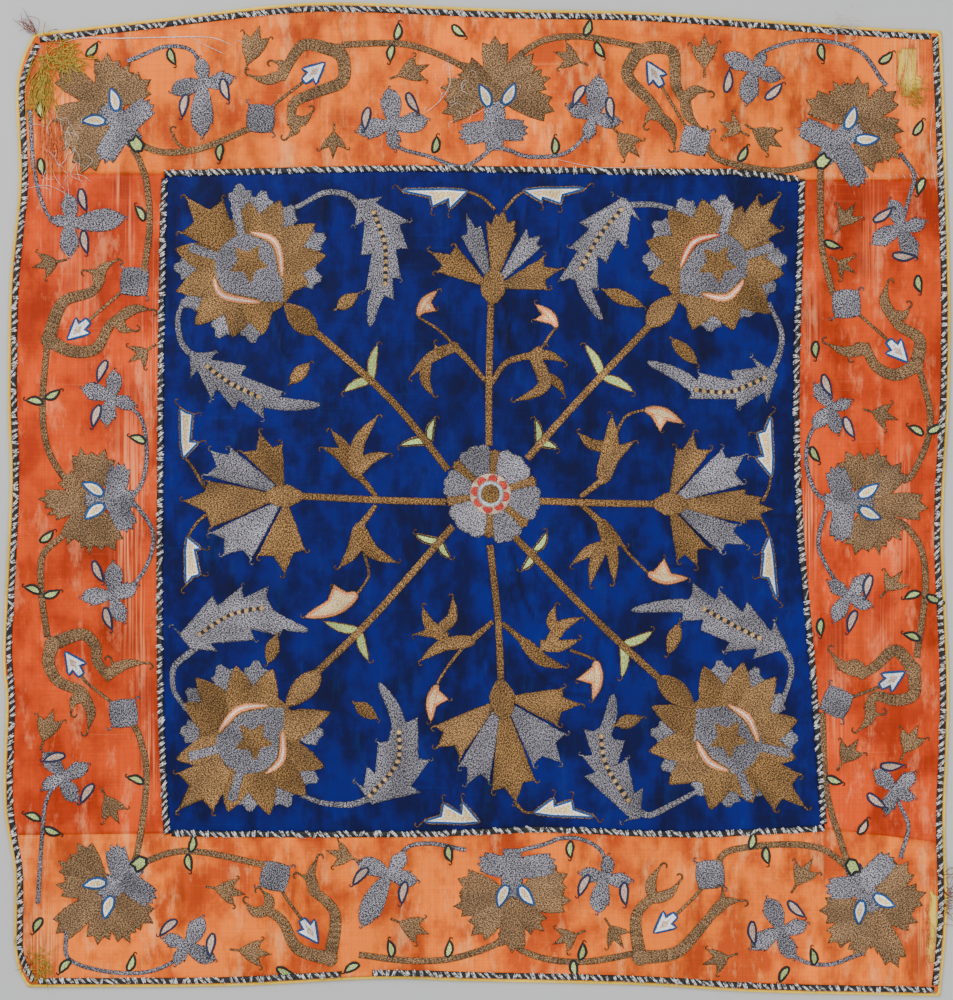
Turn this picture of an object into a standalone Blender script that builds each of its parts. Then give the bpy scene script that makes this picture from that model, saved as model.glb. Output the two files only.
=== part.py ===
"""Embroidered wrapping cloth: a blue silk panel in four orange silk border strips on a yellow silk lining,
with black and silver cord over the seams and flowers, leaves and vines in couched metal thread.

The cloth lies flat. Its patterns are set out in millimetres, right of and down from the top left corner of
the frame that the cloth is stretched in, and every table below uses those millimetres.
"""

import math

import bpy
from mathutils import Vector
from mathutils.geometry import delaunay_2d_cdt

MM = 0.001

# Thicknesses and gaps
LINING_THICK = 1.0
SILK_THICK = 1.0
THREAD_THICK = 0.8
HEART_THICK = 0.5
GAP = 0.3
SEWING_CUT = 0.6

# Cords
CORD_WIDTH = 7.0
CORD_HEIGHT = 2.4
CORD_STEP = 38.0
CORD_INSET = 6.5
CORNER_PLAY = 2.5

# The lining shows past the strips by this much
EDGE_SHOWS = 3.0

# The weave lies in low waves: crest height, wave length and heading of each
WAVES = (
    {"height": 0.55, "length": 330.0, "heading": 20.0, "start": 0.3},
    {"height": 0.45, "length": 270.0, "heading": 115.0, "start": 1.9},
    {"height": 0.30, "length": 410.0, "heading": 70.0, "start": 4.0},
)
LATTICE = 42.0
EDGE_STEP = 42.0

# Edges of the lining, corner to corner
TOP_EDGE = ((34, 34), (160, 19), (281, 5), (355, 3), (500, 9), (640, 12), (760, 20), (876, 28), (941, 31))
RIGHT_EDGE = (
    (941, 31), (946, 160), (950, 290), (949, 400), (943, 530), (949, 690), (945, 820), (947, 910), (940, 996),
)
BOTTOM_EDGE = (
    (940, 996), (760, 992), (640, 985), (473, 981), (372, 979), (225, 986), (28, 987),
)
LEFT_EDGE = (
    (28, 987), (15, 954), (14, 872), (4, 802), (6, 701), (3, 650), (10, 491), (8, 404), (10, 282), (19, 184),
    (17, 82), (34, 34),
)

# Seams round the centre panel, corner to corner
TOP_SEAM = ((165, 174), (240, 172), (400, 169), (520, 170), (640, 172), (740, 173), (802, 180))
RIGHT_SEAM = ((802, 180), (799, 270), (796, 400), (799, 510), (806, 600), (814, 690), (821, 790), (824, 828))
BOTTOM_SEAM = ((824, 828), (700, 834), (640, 833), (539, 829), (440, 833), (300, 834), (167, 833))
LEFT_SEAM = ((167, 833), (162, 732), (160, 600), (161, 400), (163, 230), (165, 174))

# Where the outer cord is missing at the bottom edge, right to left
CORD_MISSING = (371, 341)

# Worn holes that show the lining
WORN_HOLES = {
    "top": ((897, 52), (905, 47), (915, 50), (917, 74), (923, 88), (912, 93), (906, 99), (900, 88), (895, 68)),
    "bottom": ((929, 888), (936, 895), (939, 918), (937, 944), (931, 964), (925, 950), (927, 921)),
}

# Colours as linear red, green and blue
COLOURS = {
    "lining": (0.62, 0.42, 0.04),
    "blue_silk": (0.003, 0.008, 0.11),
    "orange_silk": (0.72, 0.19, 0.04),
    "red_silk": (0.60, 0.09, 0.02),
    "gold": (0.26, 0.14, 0.05),
    "silver": (0.24, 0.23, 0.27),
    "cord": (0.05, 0.05, 0.055),
}

ROSETTE = {"x": 490, "y": 494, "reach": 47, "heart": 17}

# Straight sprays: the stem runs out from the rosette to the calyx; petals and leaves are listed below
STEM_WIDTH = 7.0
SPRAYS = {
    "north": {"stem": ((490, 452), (490, 380), (492, 292)), "calyx": (493, 288), "across": 24},
    "west": {"stem": ((448, 502), (378, 500), (287, 496)), "calyx": (287, 496), "across": 20},
    "east": {"stem": ((533, 500), (600, 503), (668, 504)), "calyx": (668, 504), "across": 20},
    "south": {"stem": ((490, 538), (497, 620), (502, 696)), "calyx": (502, 696), "across": 26},
}
CARNATION_PETALS = (
    # spray, middle of the toothed end, width there
    ("north", (440, 262), 36), ("north", (468, 222), 28), ("north", (502, 222), 30),
    ("north", (536, 235), 26), ("north", (555, 276), 34),
    ("west", (262, 442), 36), ("west", (214, 458), 32), ("west", (196, 508), 40),
    ("west", (226, 548), 36), ("west", (282, 566), 42),
    ("east", (693, 441), 34), ("east", (737, 462), 34), ("east", (763, 508), 36),
    ("east", (738, 540), 32), ("east", (694, 562), 34),
    ("south", (443, 744), 34), ("south", (470, 778), 30), ("south", (514, 794), 40),
    ("south", (556, 755), 34), ("south", (569, 708), 38),
)
BRANCHES = (
    # spray, stalk from the stem, lobe ends
    ("north", ((488, 384), (470, 360), (450, 340)), ((411, 372), (434, 396), (437, 352))),
    ("north", ((492, 383), (502, 370), (518, 352)), ((564, 362), (562, 394), (516, 402))),
    ("west", ((380, 500), (367, 486), (354, 470)), ((324, 446), (332, 431), (377, 417), (388, 452))),
    ("west", ((378, 503), (367, 518), (358, 530)), ((340, 566), (394, 562), (368, 572))),
    ("east", ((578, 500), (592, 488), (604, 478)), ((579, 441), (612, 416), (633, 442))),
    ("east", ((578, 505), (592, 516), (604, 528)), ((572, 554), (594, 586), (616, 583))),
    ("south", ((495, 622), (482, 632), (466, 644)), ((416, 632), (421, 661), (423, 609), (452, 600))),
    ("south", ((499, 624), (514, 634), (530, 644)), ((564, 667), (580, 645), (580, 618), (556, 608))),
)

# Slanted sprays end in a blossom, whose petals are told from the axis that points away from the rosette
SLANTED = {
    "north_west": {"stem": ((449, 461), (391, 400), (309, 326), (285, 305)), "centre": (250, 265), "axis": 135},
    "north_east": {"stem": ((525, 462), (579, 400), (655, 320), (680, 296)), "centre": (713, 264), "axis": 45},
    "south_west": {"stem": ((455, 528), (372, 618), (316, 673), (286, 705)), "centre": (250, 740), "axis": -135},
    "south_east": {"stem": ((513, 533), (596, 620), (660, 679), (694, 708)), "centre": (727, 737), "axis": -45},
}
BLOSSOM_PETALS = (
    # angle from the axis, reach, width
    (0, 92, 42), (22, 76, 26), (44, 79, 30), (66, 75, 28), (88, 82, 30), (108, 74, 28), (130, 78, 28), (152, 72, 24),
)
BLOSSOM_EYE = 33.0
LEAF_PAIRS = (
    # spray, leaf base, leaf tips
    ("north_west", (430, 440), ((442, 416), (399, 453))), ("north_west", (372, 380), ((377, 347), (346, 390))),
    ("north_east", (540, 443), ((529, 416), (561, 458))), ("north_east", (602, 377), ((587, 346), (631, 391))),
    ("south_west", (441, 541), ((409, 528), (457, 564))), ("south_west", (360, 630), ((327, 622), (367, 658))),
    ("south_east", (531, 551), ((545, 529), (517, 573))), ("south_east", (623, 644), ((650, 632), (622, 675))),
)

SERRATED_LEAVES = (
    # name, stalk, leaf base, leaf tip, bend, width
    ("north_west_a", ((303, 203), (326, 193), (350, 196)), (379, 200), (371, 327), -12, 52),
    ("north_west_b", ((182, 312), (178, 326), (181, 341)), (192, 358), (321, 405), 12, 44),
    ("north_east_a", ((666, 207), (653, 204)), (630, 196), (601, 321), 24, 50),
    ("north_east_b", ((773, 318), (781, 332), (780, 346)), (774, 364), (650, 366), -26, 38),
    ("south_west_a", ((183, 698), (175, 686), (176, 666)), (190, 646), (308, 631), -32, 44),
    ("south_west_b", ((312, 799), (330, 804), (352, 802)), (372, 800), (379, 682), 24, 50),
    ("south_east_a", ((784, 692), (791, 673)), (784, 648), (632, 610), 14, 42),
    ("south_east_b", ((694, 795), (669, 806), (642, 812)), (622, 816), (613, 692), -16, 48),
)

PALMETTES = {
    "north_west": {"centre": (106, 106), "axis": 135, "scale": 1.0},
    "north_east": {"centre": (860, 118), "axis": 45, "scale": 0.98},
    "south_west": {"centre": (106, 893), "axis": -135, "scale": 1.0},
    "south_east": {"centre": (872, 908), "axis": -45, "scale": 0.98},
    "north": {"centre": (495, 90), "axis": 90, "scale": 1.0},
    "west": {"centre": (88, 499), "axis": 180, "scale": 1.0},
    "east": {"centre": (870, 500), "axis": 0, "scale": 1.0},
    "south": {"centre": (512, 898), "axis": -90, "scale": 1.0},
}
PALMETTE_LOBES = (
    # angle from the axis, reach, width
    (0, 55, 30), (49, 51, 30), (80, 56, 26), (112, 62, 26), (142, 55, 28), (180, 52, 30),
)
PALMETTE_BODY = 34.0

VINE_WIDTH = 7.0
VINES = (
    ("north_west", ((137, 142), (169, 153), (204, 148), (250, 124))),
    ("north_west", ((137, 142), (147, 184), (150, 230), (148, 266))),
    ("north_east", ((838, 146), (822, 162), (770, 171), (721, 160), (705, 146))),
    ("north_east", ((838, 146), (822, 162), (821, 200), (822, 250), (836, 290))),
    ("south_west", ((137, 866), (173, 852), (204, 852), (262, 866))),
    ("south_west", ((137, 866), (147, 800), (145, 752), (133, 726))),
    ("south_east", ((850, 870), (820, 848), (760, 844), (720, 862))),
    ("south_east", ((850, 870), (840, 830), (826, 780), (824, 716))),
    ("north", ((463, 66), (431, 52), (398, 44), (344, 48))),
    ("north", ((530, 56), (560, 38), (596, 38), (636, 47))),
    ("west", ((62, 474), (47, 445), (44, 390), (49, 342))),
    ("west", ((64, 530), (46, 556), (42, 596), (52, 641))),
    ("east", ((900, 486), (914, 472), (926, 445), (924, 400), (915, 368))),
    ("east", ((896, 520), (908, 530), (923, 556), (925, 600), (914, 668))),
    ("south", ((524, 930), (534, 948), (560, 960), (600, 960), (640, 956))),
    ("south", ((500, 930), (490, 946), (452, 958), (400, 960), (336, 958))),
)
BAND_WIDTH = 12.0
CLOUD_BANDS = (
    # palmette, ribbon route, the two ends of its fork
    ("north", ((341, 50), (307, 47), (292, 58), (280, 76)), ((249, 76), (276, 62))),
    ("north", ((341, 50), (346, 64), (338, 82), (316, 93), (296, 104)), ((288, 138), (312, 113))),
    ("north", ((636, 50), (629, 70), (640, 92), (660, 118)), ((674, 148), (645, 124))),
    ("north", ((636, 50), (660, 50), (675, 66), (676, 88), (690, 106)), ((709, 92), (702, 129))),
    ("west", ((50, 340), (57, 314), (70, 299), (94, 290)), ((116, 261), (88, 271))),
    ("west", ((50, 340), (71, 352), (94, 350), (110, 328), (128, 318)), ((152, 309), (134, 331))),
    ("west", ((53, 642), (80, 634), (96, 646), (100, 664), (116, 678)), ((149, 663), (112, 660))),
    ("west", ((53, 642), (50, 662), (60, 681), (82, 692)), ((88, 731), (71, 711))),
    ("east", ((914, 368), (920, 342), (902, 326), (886, 308)), ((886, 283), (909, 308))),
    ("east", ((914, 368), (892, 376), (874, 364), (864, 346)), ((826, 344), (850, 357))),
    ("east", ((914, 668), (896, 652), (876, 664), (858, 675)), ((830, 652), (842, 670))),
    ("east", ((914, 668), (911, 692), (892, 701), (874, 698), (866, 710)), ((858, 731), (880, 715))),
    ("south", ((334, 956), (337, 916), (314, 890)), ((318, 856), (300, 874))),
    ("south", ((334, 956), (300, 950), (284, 922), (268, 910)), ((246, 903), (262, 890))),
    ("south", ((640, 956), (636, 916), (656, 894)), ((660, 866), (680, 880))),
    ("south", ((640, 956), (676, 952), (700, 928), (716, 908)), ((742, 900), (722, 890))),
)

ORCHIDS = (
    # name, stalk, centre, the four petal ends
    ("north_west_a", ((141, 56), (167, 47), (190, 55)), (203, 82), ((199, 62), (178, 88), (229, 76), (203, 128))),
    ("north_west_b", ((32, 128), (35, 173), (52, 214)), (71, 222), ((71, 203), (116, 220), (55, 226), (71, 246))),
    ("north_a", ((452, 158), (430, 156), (406, 142)), (390, 122), ((386, 100), (366, 132), (416, 126), (396, 142))),
    ("north_b", ((530, 157), (561, 155), (580, 140)), (592, 118), ((598, 93), (574, 110), (614, 120), (590, 132))),
    ("north_east_a", ((842, 46), (804, 40), (770, 50)), (754, 70), ((729, 60), (776, 74), (750, 98), (770, 92))),
    ("north_east_b", ((916, 150), (914, 176), (908, 204)), (901, 228), ((889, 207), (878, 240), (912, 251), (922, 226))),
    ("west_a", ((143, 472), (147, 450), (138, 412)), (112, 398), ((114, 376), (88, 390), (131, 404), (108, 420))),
    ("west_b", ((144, 532), (151, 556), (136, 584)), (113, 596), ((113, 568), (88, 598), (133, 588), (122, 616))),
    ("east_a", ((812, 480), (808, 458), (816, 432)), (831, 408), ((818, 390), (846, 402), (818, 424), (836, 428))),
    ("east_b", ((812, 524), (814, 552), (832, 578)), (848, 596), ((832, 584), (863, 578), (867, 602), (838, 616))),
    ("south_west_a", ((44, 868), (40, 830), (50, 800)), (63, 776), ((48, 758), (84, 766), (76, 797), (50, 787))),
    ("south_west_b", ((70, 946), (102, 970), (143, 972), (172, 960)), (187, 945), ((199, 922), (168, 940), (210, 957), (180, 960))),
    ("south_a", ((470, 850), (430, 843), (406, 850)), (389, 874), ((400, 856), (364, 865), (412, 880), (368, 918))),
    ("south_b", ((556, 850), (582, 839), (600, 852)), (605, 876), ((588, 862), (584, 880), (627, 880), (600, 906))),
    ("south_east_a", ((836, 958), (812, 968), (792, 950)), (780, 928), ((768, 904), (802, 922), (757, 946), (790, 950))),
    ("south_east_b", ((904, 850), (908, 826), (900, 806)), (894, 790), ((878, 774), (909, 775), (888, 809), (910, 796))),
)


# Curves in the plane

def rounded(points, step):
    """The points of a smooth curve through the given ones, about a step apart."""
    ends = [points[0]] + list(points) + [points[-1]]
    curve = [Vector(points[0])]
    for before, start, end, after in zip(ends, ends[1:], ends[2:], ends[3:]):
        p, a, b, q = Vector(before), Vector(start), Vector(end), Vector(after)
        pieces = max(1, round((b - a).length / step))
        for i in range(1, pieces + 1):
            t = i / pieces
            curve.append(
                0.5 * (2 * a + (b - p) * t + (2 * p - 5 * a + 4 * b - q) * t**2 + (3 * a - p - 3 * b + q) * t**3)
            )
    return curve


def across(curve, i):
    """The unit vector across a curve at one of its points."""
    ahead = curve[min(i + 1, len(curve) - 1)] - curve[max(i - 1, 0)]
    return Vector((-ahead.y, ahead.x)).normalized()


def shifted(points, dx, dy):
    """The points, each moved by the same distances."""
    return [Vector((p[0] + dx, p[1] + dy)) for p in points]


def turned(angle, length):
    """The offset that a length at an angle makes, with y running down the frame."""
    return Vector((math.cos(math.radians(angle)), -math.sin(math.radians(angle)))) * length


def turned_area(outline):
    """Twice the area of an outline, below nought where it runs clockwise."""
    outline = list(outline)
    return sum(a[0] * b[1] - b[0] * a[1] for a, b in zip(outline, outline[1:] + outline[:1]))


def anticlockwise(outline):
    """The outline with its inside on the left of its edges."""
    return list(outline) if turned_area(outline) > 0 else list(outline)[::-1]


# Shapes of the pattern: each returns a list of outlines, which overlap where they join

def band(route, width, step=16.0, end_width=None):
    """Four-sided lengths along a smooth route, as wide as told, or narrowing to the end width."""
    curve = rounded(route, step)
    last = len(curve) - 1
    end_width = width if end_width is None else end_width
    sides = []
    for i, point in enumerate(curve):
        half = (width + (end_width - width) * i / last) / 2
        sides.append((point + across(curve, i) * half, point - across(curve, i) * half))
    return [[a[0], a[1], b[1], b[0]] for a, b in zip(sides, sides[1:])]


def disc(centre, radius, corners=8):
    """A round."""
    return [[Vector(centre) + turned(360 * i / corners, radius) for i in range(corners)]]


def pointed(base, tip, width, foot=0.5):
    """A petal or leaf that swells from its foot and ends in a point."""
    base, tip = Vector(base), Vector(tip)
    ahead = tip - base
    side = Vector((-ahead.y, ahead.x)).normalized() * (width / 2)
    right = [base + side * foot, base + ahead * 0.55 + side, base + ahead * 0.82 + side * 0.55]
    left = [base + ahead * 0.82 - side * 0.55, base + ahead * 0.55 - side, base - side * foot]
    return [right + [tip] + left]


def fan(base, end, width, foot=6.0, teeth=3):
    """A carnation petal: a fan from its foot to a toothed end."""
    base, end = Vector(base), Vector(end)
    ahead = (end - base).normalized()
    side = Vector((-ahead.y, ahead.x))
    rim = []
    for i in range(2 * teeth + 1):
        t = i / teeth - 1
        reach = 4.0 if i % 2 == 0 else -5.0
        rim.append(end + side * (t * width / 2) + ahead * (reach - 7.0 * t * t))
    return [[base - side * foot / 2] + rim + [base + side * foot / 2]]


def serrated(base, tip, bend, width, teeth=4):
    """A long leaf, bent to one side, with saw teeth on both of its edges."""
    base, tip = Vector(base), Vector(tip)
    chord = tip - base
    side = Vector((-chord.y, chord.x)).normalized()
    count = 2 * teeth
    spine = [base + chord * t + side * bend * 4 * t * (1 - t) for t in (i / count for i in range(count + 1))]
    edges = ([], [])
    for i in range(count):
        t = i / count
        half = width / 2 * (1 - 0.75 * t) * min(1.0, 0.4 + 2.4 * t)
        for edge, way in zip(edges, (1, -1)):
            reach = half * (1.0 if i % 2 else 0.6)
            lean = chord.normalized() * (5.0 if i % 2 else 0.0)
            edge.append(spine[i] + across(spine, i) * way * reach + lean)
    return [edges[0] + [tip] + edges[1][::-1]]


def petals(centre, axis, rows, foot, scale=1.0):
    """Petals round a centre, each row once on either side of the axis."""
    shapes = []
    for angle, reach, width in rows:
        for way in (1, -1) if 0 < angle < 180 else (1,):
            heading = axis + way * angle
            base = Vector(centre) + turned(heading, foot * scale * 0.3)
            shapes += pointed(base, Vector(centre) + turned(heading, reach * scale), width * scale, foot=0.7)
    return shapes


# Solids

def lift(x, y):
    """How far the silk's waves lift it at a place."""
    height = sum(w["height"] for w in WAVES)
    for w in WAVES:
        along = x * math.cos(math.radians(w["heading"])) + y * math.sin(math.radians(w["heading"]))
        height += w["height"] * math.sin(2 * math.pi * along / w["length"] + w["start"])
    return height / 2


def flat(_x, _y):
    """No waves: the lining lies flat."""
    return 0.0


def grown(outline, margin):
    """The outline pushed out by a margin."""
    outline = anticlockwise(outline)
    pushed = []
    for before, point, after in zip(outline[-1:] + outline[:-1], outline, outline[1:] + outline[:1]):
        ahead = (Vector(after) - Vector(before)).normalized()
        pushed.append(Vector(point) + Vector((ahead.y, -ahead.x)) * margin)
    return pushed


def lattice_points(outlines):
    """Evenly spread points over the outlines' box, for the waves."""
    xs = [p[0] for o in outlines for p in o]
    ys = [p[1] for o in outlines for p in o]
    columns = range(math.ceil(min(xs) / LATTICE), math.floor(max(xs) / LATTICE) + 1)
    rows = range(math.ceil(min(ys) / LATTICE), math.floor(max(ys) / LATTICE) + 1)
    return [Vector(((c + 0.5 * (r % 2)) * LATTICE, r * LATTICE)) for c in columns for r in rows]


def triangles_over(outlines, cuts, loose=()):
    """Triangles over all outlines less the cuts: the points and the triangles' point numbers."""
    points, faces = [], []
    for outline in [anticlockwise(o) for o in outlines] + [anticlockwise(c) for c in cuts]:
        faces.append(list(range(len(points), len(points) + len(outline))))
        points += [Vector((p[0], p[1])) for p in outline]
    points += loose
    found, _, cells, _, _, sources = delaunay_2d_cdt(points, [], faces, 0, 0.05, True)
    kept = [
        list(cell) for cell, source in zip(cells, sources)
        if source and all(s < len(outlines) for s in source)
    ]
    return found, kept


def rims(cells):
    """The point numbers round a piece and round each of its holes, with the largest loop first."""
    edges = {(a, b) for cell in cells for a, b in zip(cell, cell[1:] + cell[:1])}
    after = {a: b for a, b in edges if (b, a) not in edges}
    loops = []
    while after:
        loop = [next(iter(sorted(after)))]
        while loop[-1] in after:
            loop.append(after.pop(loop[-1]))
        loops.append(loop[:-1])
    return loops


def covered(outlines, cuts, lattice):
    """The joined outlines less the cuts, as few triangles that still follow the waves."""
    outlines = list(outlines)
    for _ in range(5):
        found, cells = triangles_over(outlines, cuts)
        cells = largest_piece(cells)
        close = pinches(found, cells)
        if not close:
            break
        for place in close:
            outlines += disc(place, 1.2, 6)
    loops = [[found[v] for v in loop] for loop in rims(cells)]
    loops.sort(key=lambda loop: -abs(turned_area(loop)))
    return triangles_over(loops[:1], loops[1:], lattice_points(loops) if lattice else [])


def largest_piece(cells):
    """The triangles that hang together by their edges, in the largest such group."""
    by_edge = {}
    for i, cell in enumerate(cells):
        for a, b in zip(cell, cell[1:] + cell[:1]):
            by_edge.setdefault(frozenset((a, b)), []).append(i)
    unseen, best = set(range(len(cells))), []
    while unseen:
        group, todo = [], [unseen.pop()]
        while todo:
            i = todo.pop()
            group.append(i)
            cell = cells[i]
            for a, b in zip(cell, cell[1:] + cell[:1]):
                for j in by_edge[frozenset((a, b))]:
                    if j in unseen:
                        unseen.remove(j)
                        todo.append(j)
        best = max(best, group, key=len)
    return [cells[i] for i in best]


def pinches(found, cells):
    """Places where a piece would meet itself in one point only."""
    rims = {}
    edges = {}
    for cell in cells:
        for a, b in zip(cell, cell[1:] + cell[:1]):
            edges[(a, b)] = True
    for a, b in edges:
        if (b, a) not in edges:
            rims[a] = rims.get(a, 0) + 1
    return [found[v] for v, times in rims.items() if times > 1]


def material(name, colour, metallic, roughness):
    """A plain material of one colour."""
    made = bpy.data.materials.new(name)
    made.use_nodes = True
    shader = made.node_tree.nodes["Principled BSDF"]
    shader.inputs["Base Color"].default_value = (*colour, 1.0)
    shader.inputs["Metallic"].default_value = metallic
    shader.inputs["Roughness"].default_value = roughness
    made.diffuse_color = (*colour, 1.0)
    return made


def sheet(name, outlines, bottom, thick, finish, cuts=(), waves=lift, lattice=True):
    """A closed solid over the outlines, of even thickness, on the waves."""
    found, cells = covered(outlines, cuts, lattice)
    used = sorted({v for cell in cells for v in cell})
    number = {v: i for i, v in enumerate(used)}
    count = len(used)
    points = []
    for level in (bottom, bottom + thick):
        for v in used:
            x, y = found[v]
            points.append(Vector((x - MIDDLE[0], MIDDLE[1] - y, level + waves(x, y))) * MM)
    faces = []
    edges = {(a, b) for cell in cells for a, b in zip(cell, cell[1:] + cell[:1])}
    for cell in cells:
        low = [number[v] for v in cell]
        faces.append(low)
        faces.append([v + count for v in reversed(low)])
    for a, b in sorted(edges):
        if (b, a) not in edges:
            low_a, low_b = number[a], number[b]
            faces.append([low_b, low_a, low_a + count, low_b + count])
    mesh = bpy.data.meshes.new(name)
    mesh.from_pydata(points, [], faces)
    mesh.update()
    body = bpy.data.objects.new(name, mesh)
    bpy.context.collection.objects.link(body)
    body.data.materials.append(finish)
    return body


def cord(name, route, finish):
    """A half-round cord that lies on the silk along a route."""
    curve = rounded(route, CORD_STEP)
    profile = [(math.cos(math.pi * i / 4), math.sin(math.pi * i / 4)) for i in range(5)]
    points = []
    for i, place in enumerate(curve):
        for over, up in profile:
            x, y = place + across(curve, i) * over * CORD_WIDTH / 2
            z = SILK_TOP + GAP + CORD_HEIGHT * up + lift(x, y)
            points.append(Vector((x - MIDDLE[0], MIDDLE[1] - y, z)) * MM)
    ring = len(profile)
    faces = [list(range(ring)), [len(points) - 1 - i for i in range(ring)]]
    for i in range(len(curve) - 1):
        for j in range(ring):
            a, b = i * ring + j, i * ring + (j + 1) % ring
            faces.append([b, a, a + ring, b + ring])
    mesh = bpy.data.meshes.new(name)
    mesh.from_pydata(points, [], faces)
    mesh.update()
    body = bpy.data.objects.new(name, mesh)
    bpy.context.collection.objects.link(body)
    body.data.materials.append(finish)
    return body


def middle_of(points):
    """The middle of the points' box."""
    xs, ys = [p[0] for p in points], [p[1] for p in points]
    return (min(xs) + max(xs)) / 2, (min(ys) + max(ys)) / 2


def inset_sides(sides, distance):
    """Four sides of a piece, corner to corner, each moved in by a distance."""
    ways = ((0, 1), (-1, 0), (0, -1), (1, 0))
    moved = [shifted(side, wx * distance, wy * distance) for side, (wx, wy) in zip(sides, ways)]
    for i, side in enumerate(moved):
        after = (i + 1) % 4
        corner = Vector(sides[i][-1]) + Vector(ways[i]) * distance + Vector(ways[after]) * distance
        side[-1] = corner
        moved[after][0] = corner.copy()
    return moved


# Levels of the layers above the surface
SILK_BOTTOM = LINING_THICK + GAP
SILK_TOP = SILK_BOTTOM + SILK_THICK
THREAD_BOTTOM = SILK_TOP + GAP
HEART_BOTTOM = THREAD_BOTTOM + THREAD_THICK + GAP

LINING_SIDES = [rounded(side, EDGE_STEP) for side in (TOP_EDGE, RIGHT_EDGE, BOTTOM_EDGE, LEFT_EDGE)]
SEAM_SIDES = [rounded(side, EDGE_STEP) for side in (TOP_SEAM, RIGHT_SEAM, BOTTOM_SEAM, LEFT_SEAM)]
MIDDLE = middle_of([p for side in LINING_SIDES for p in side])


def joined(sides):
    """One outline of sides that share their corners."""
    return [p for side in sides for p in side[:-1]]


def build_lining(finishes):
    sheet("lining", [joined(LINING_SIDES)], 0.0, LINING_THICK, finishes["lining"], waves=flat, lattice=False)


def build_centre(finishes):
    sheet("centre_panel", [joined(inset_sides(SEAM_SIDES, GAP))], SILK_BOTTOM, SILK_THICK, finishes["blue_silk"])


def build_borders(finishes):
    """The four strips: the top and the bottom one reach from edge to edge."""
    top, right, bottom, left = inset_sides(LINING_SIDES, EDGE_SHOWS)
    seam_top, seam_right, seam_bottom, seam_left = SEAM_SIDES
    corners = [side[0] for side in SEAM_SIDES]
    level = {"top_left": corners[0].y, "top_right": corners[1].y, "low_right": corners[2].y + 16, "low_left": corners[3].y + 1}

    def part_of(side, low, high):
        return [p for p in side if low < p.y < high]

    def crossing(side, y):
        for a, b in zip(side, side[1:]):
            if min(a.y, b.y) <= y <= max(a.y, b.y):
                return a + (b - a) * ((y - a.y) / (b.y - a.y))
        raise ValueError("the seam misses the edge")

    upper_right, lower_right = crossing(right, level["top_right"]), crossing(right, level["low_right"])
    upper_left, lower_left = crossing(left, level["top_left"]), crossing(left, level["low_left"])
    apart = Vector((0, GAP))
    outlines = {
        "top": top + part_of(right, 0, upper_right.y) + [upper_right] + seam_top[::-1] + [upper_left]
        + part_of(left, 40, upper_left.y),
        "right": [upper_right + apart] + part_of(right, upper_right.y + 5, lower_right.y - 5)
        + [lower_right - apart] + [corners[2] - apart] + seam_right[1:-1][::-1] + [corners[1] + apart],
        "bottom": bottom + part_of(left, lower_left.y, 985) + [lower_left] + seam_bottom[::-1] + [lower_right]
        + part_of(right, lower_right.y, 990),
        "left": [lower_left - apart] + part_of(left, upper_left.y + 5, lower_left.y - 5) + [upper_left + apart]
        + [corners[0] + apart] + seam_left[1:-1][::-1] + [corners[3] - apart],
    }
    for name, outline in outlines.items():
        finish = finishes["orange_silk" if name in ("top", "bottom") else "red_silk"]
        cuts = [WORN_HOLES[name]] if name in WORN_HOLES else []
        sheet("border_" + name, [outline], SILK_BOTTOM, SILK_THICK, finish, cuts)


def corner_to_corner(side):
    """A cord's route along a side: it starts over the corner and stops short of the next run."""
    run = list(side)
    half = CORD_WIDTH / 2
    run[0] = run[0] - (run[1] - run[0]).normalized() * half
    run[-1] = run[-1] - (run[-1] - run[-2]).normalized() * (half + CORNER_PLAY)
    return run


def build_cords(finishes):
    """The runs round the centre and those near the edge; the one at the bottom edge is in two parts."""
    names = ("top", "right", "bottom", "left")
    for name, side in zip(names, SEAM_SIDES):
        cord("inner_cord_" + name, corner_to_corner(side), finishes["cord"])
    for name, side in zip(names, inset_sides(LINING_SIDES, CORD_INSET)):
        run = corner_to_corner(side)
        if name != "bottom":
            cord("outer_cord_" + name, run, finishes["cord"])
            continue
        right_end, left_end = CORD_MISSING
        before = [p for p in run if p.x > right_end]
        after = [p for p in run if p.x < left_end]
        ahead = (after[0] - before[-1]).normalized()
        cord("outer_cord_bottom_right", before + [before[-1] + ahead * (before[-1].x - right_end)], finishes["cord"])
        cord("outer_cord_bottom_left", [after[0] - ahead * (left_end - after[0].x)] + after, finishes["cord"])


def thread(name, shapes, finish, cuts=()):
    """Couched thread on the silk: the shapes as one solid, kept clear of the cuts."""
    clear = [grown(c, SEWING_CUT) for c in cuts]
    return sheet(name, shapes, THREAD_BOTTOM, THREAD_THICK, finish, clear)


def rosette_shapes():
    centre = Vector((ROSETTE["x"], ROSETTE["y"]))
    shapes = disc(centre, ROSETTE["reach"] * 0.7, 18)
    for i in range(6):
        shapes += disc(centre + turned(60 * i + 8, ROSETTE["reach"] * 0.58), ROSETTE["reach"] * 0.44, 10)
    return shapes


def spray_shapes(name):
    """A stem with its carnation and its two branches."""
    spray = SPRAYS[name]
    shapes = band(spray["stem"], STEM_WIDTH, 40.0) + disc(spray["calyx"], spray["across"] / 2)
    for of, end, width in CARNATION_PETALS:
        if of == name:
            shapes += fan(spray["calyx"], end, width)
    for of, stalk, ends in BRANCHES:
        if of == name:
            shapes += band(stalk, 5.0, 14.0, 6.0)
            for end in ends:
                shapes += pointed(stalk[-1], end, 15.0, foot=0.5)
            shapes += disc(stalk[-1], 7.0, 6)
    return shapes


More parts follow.
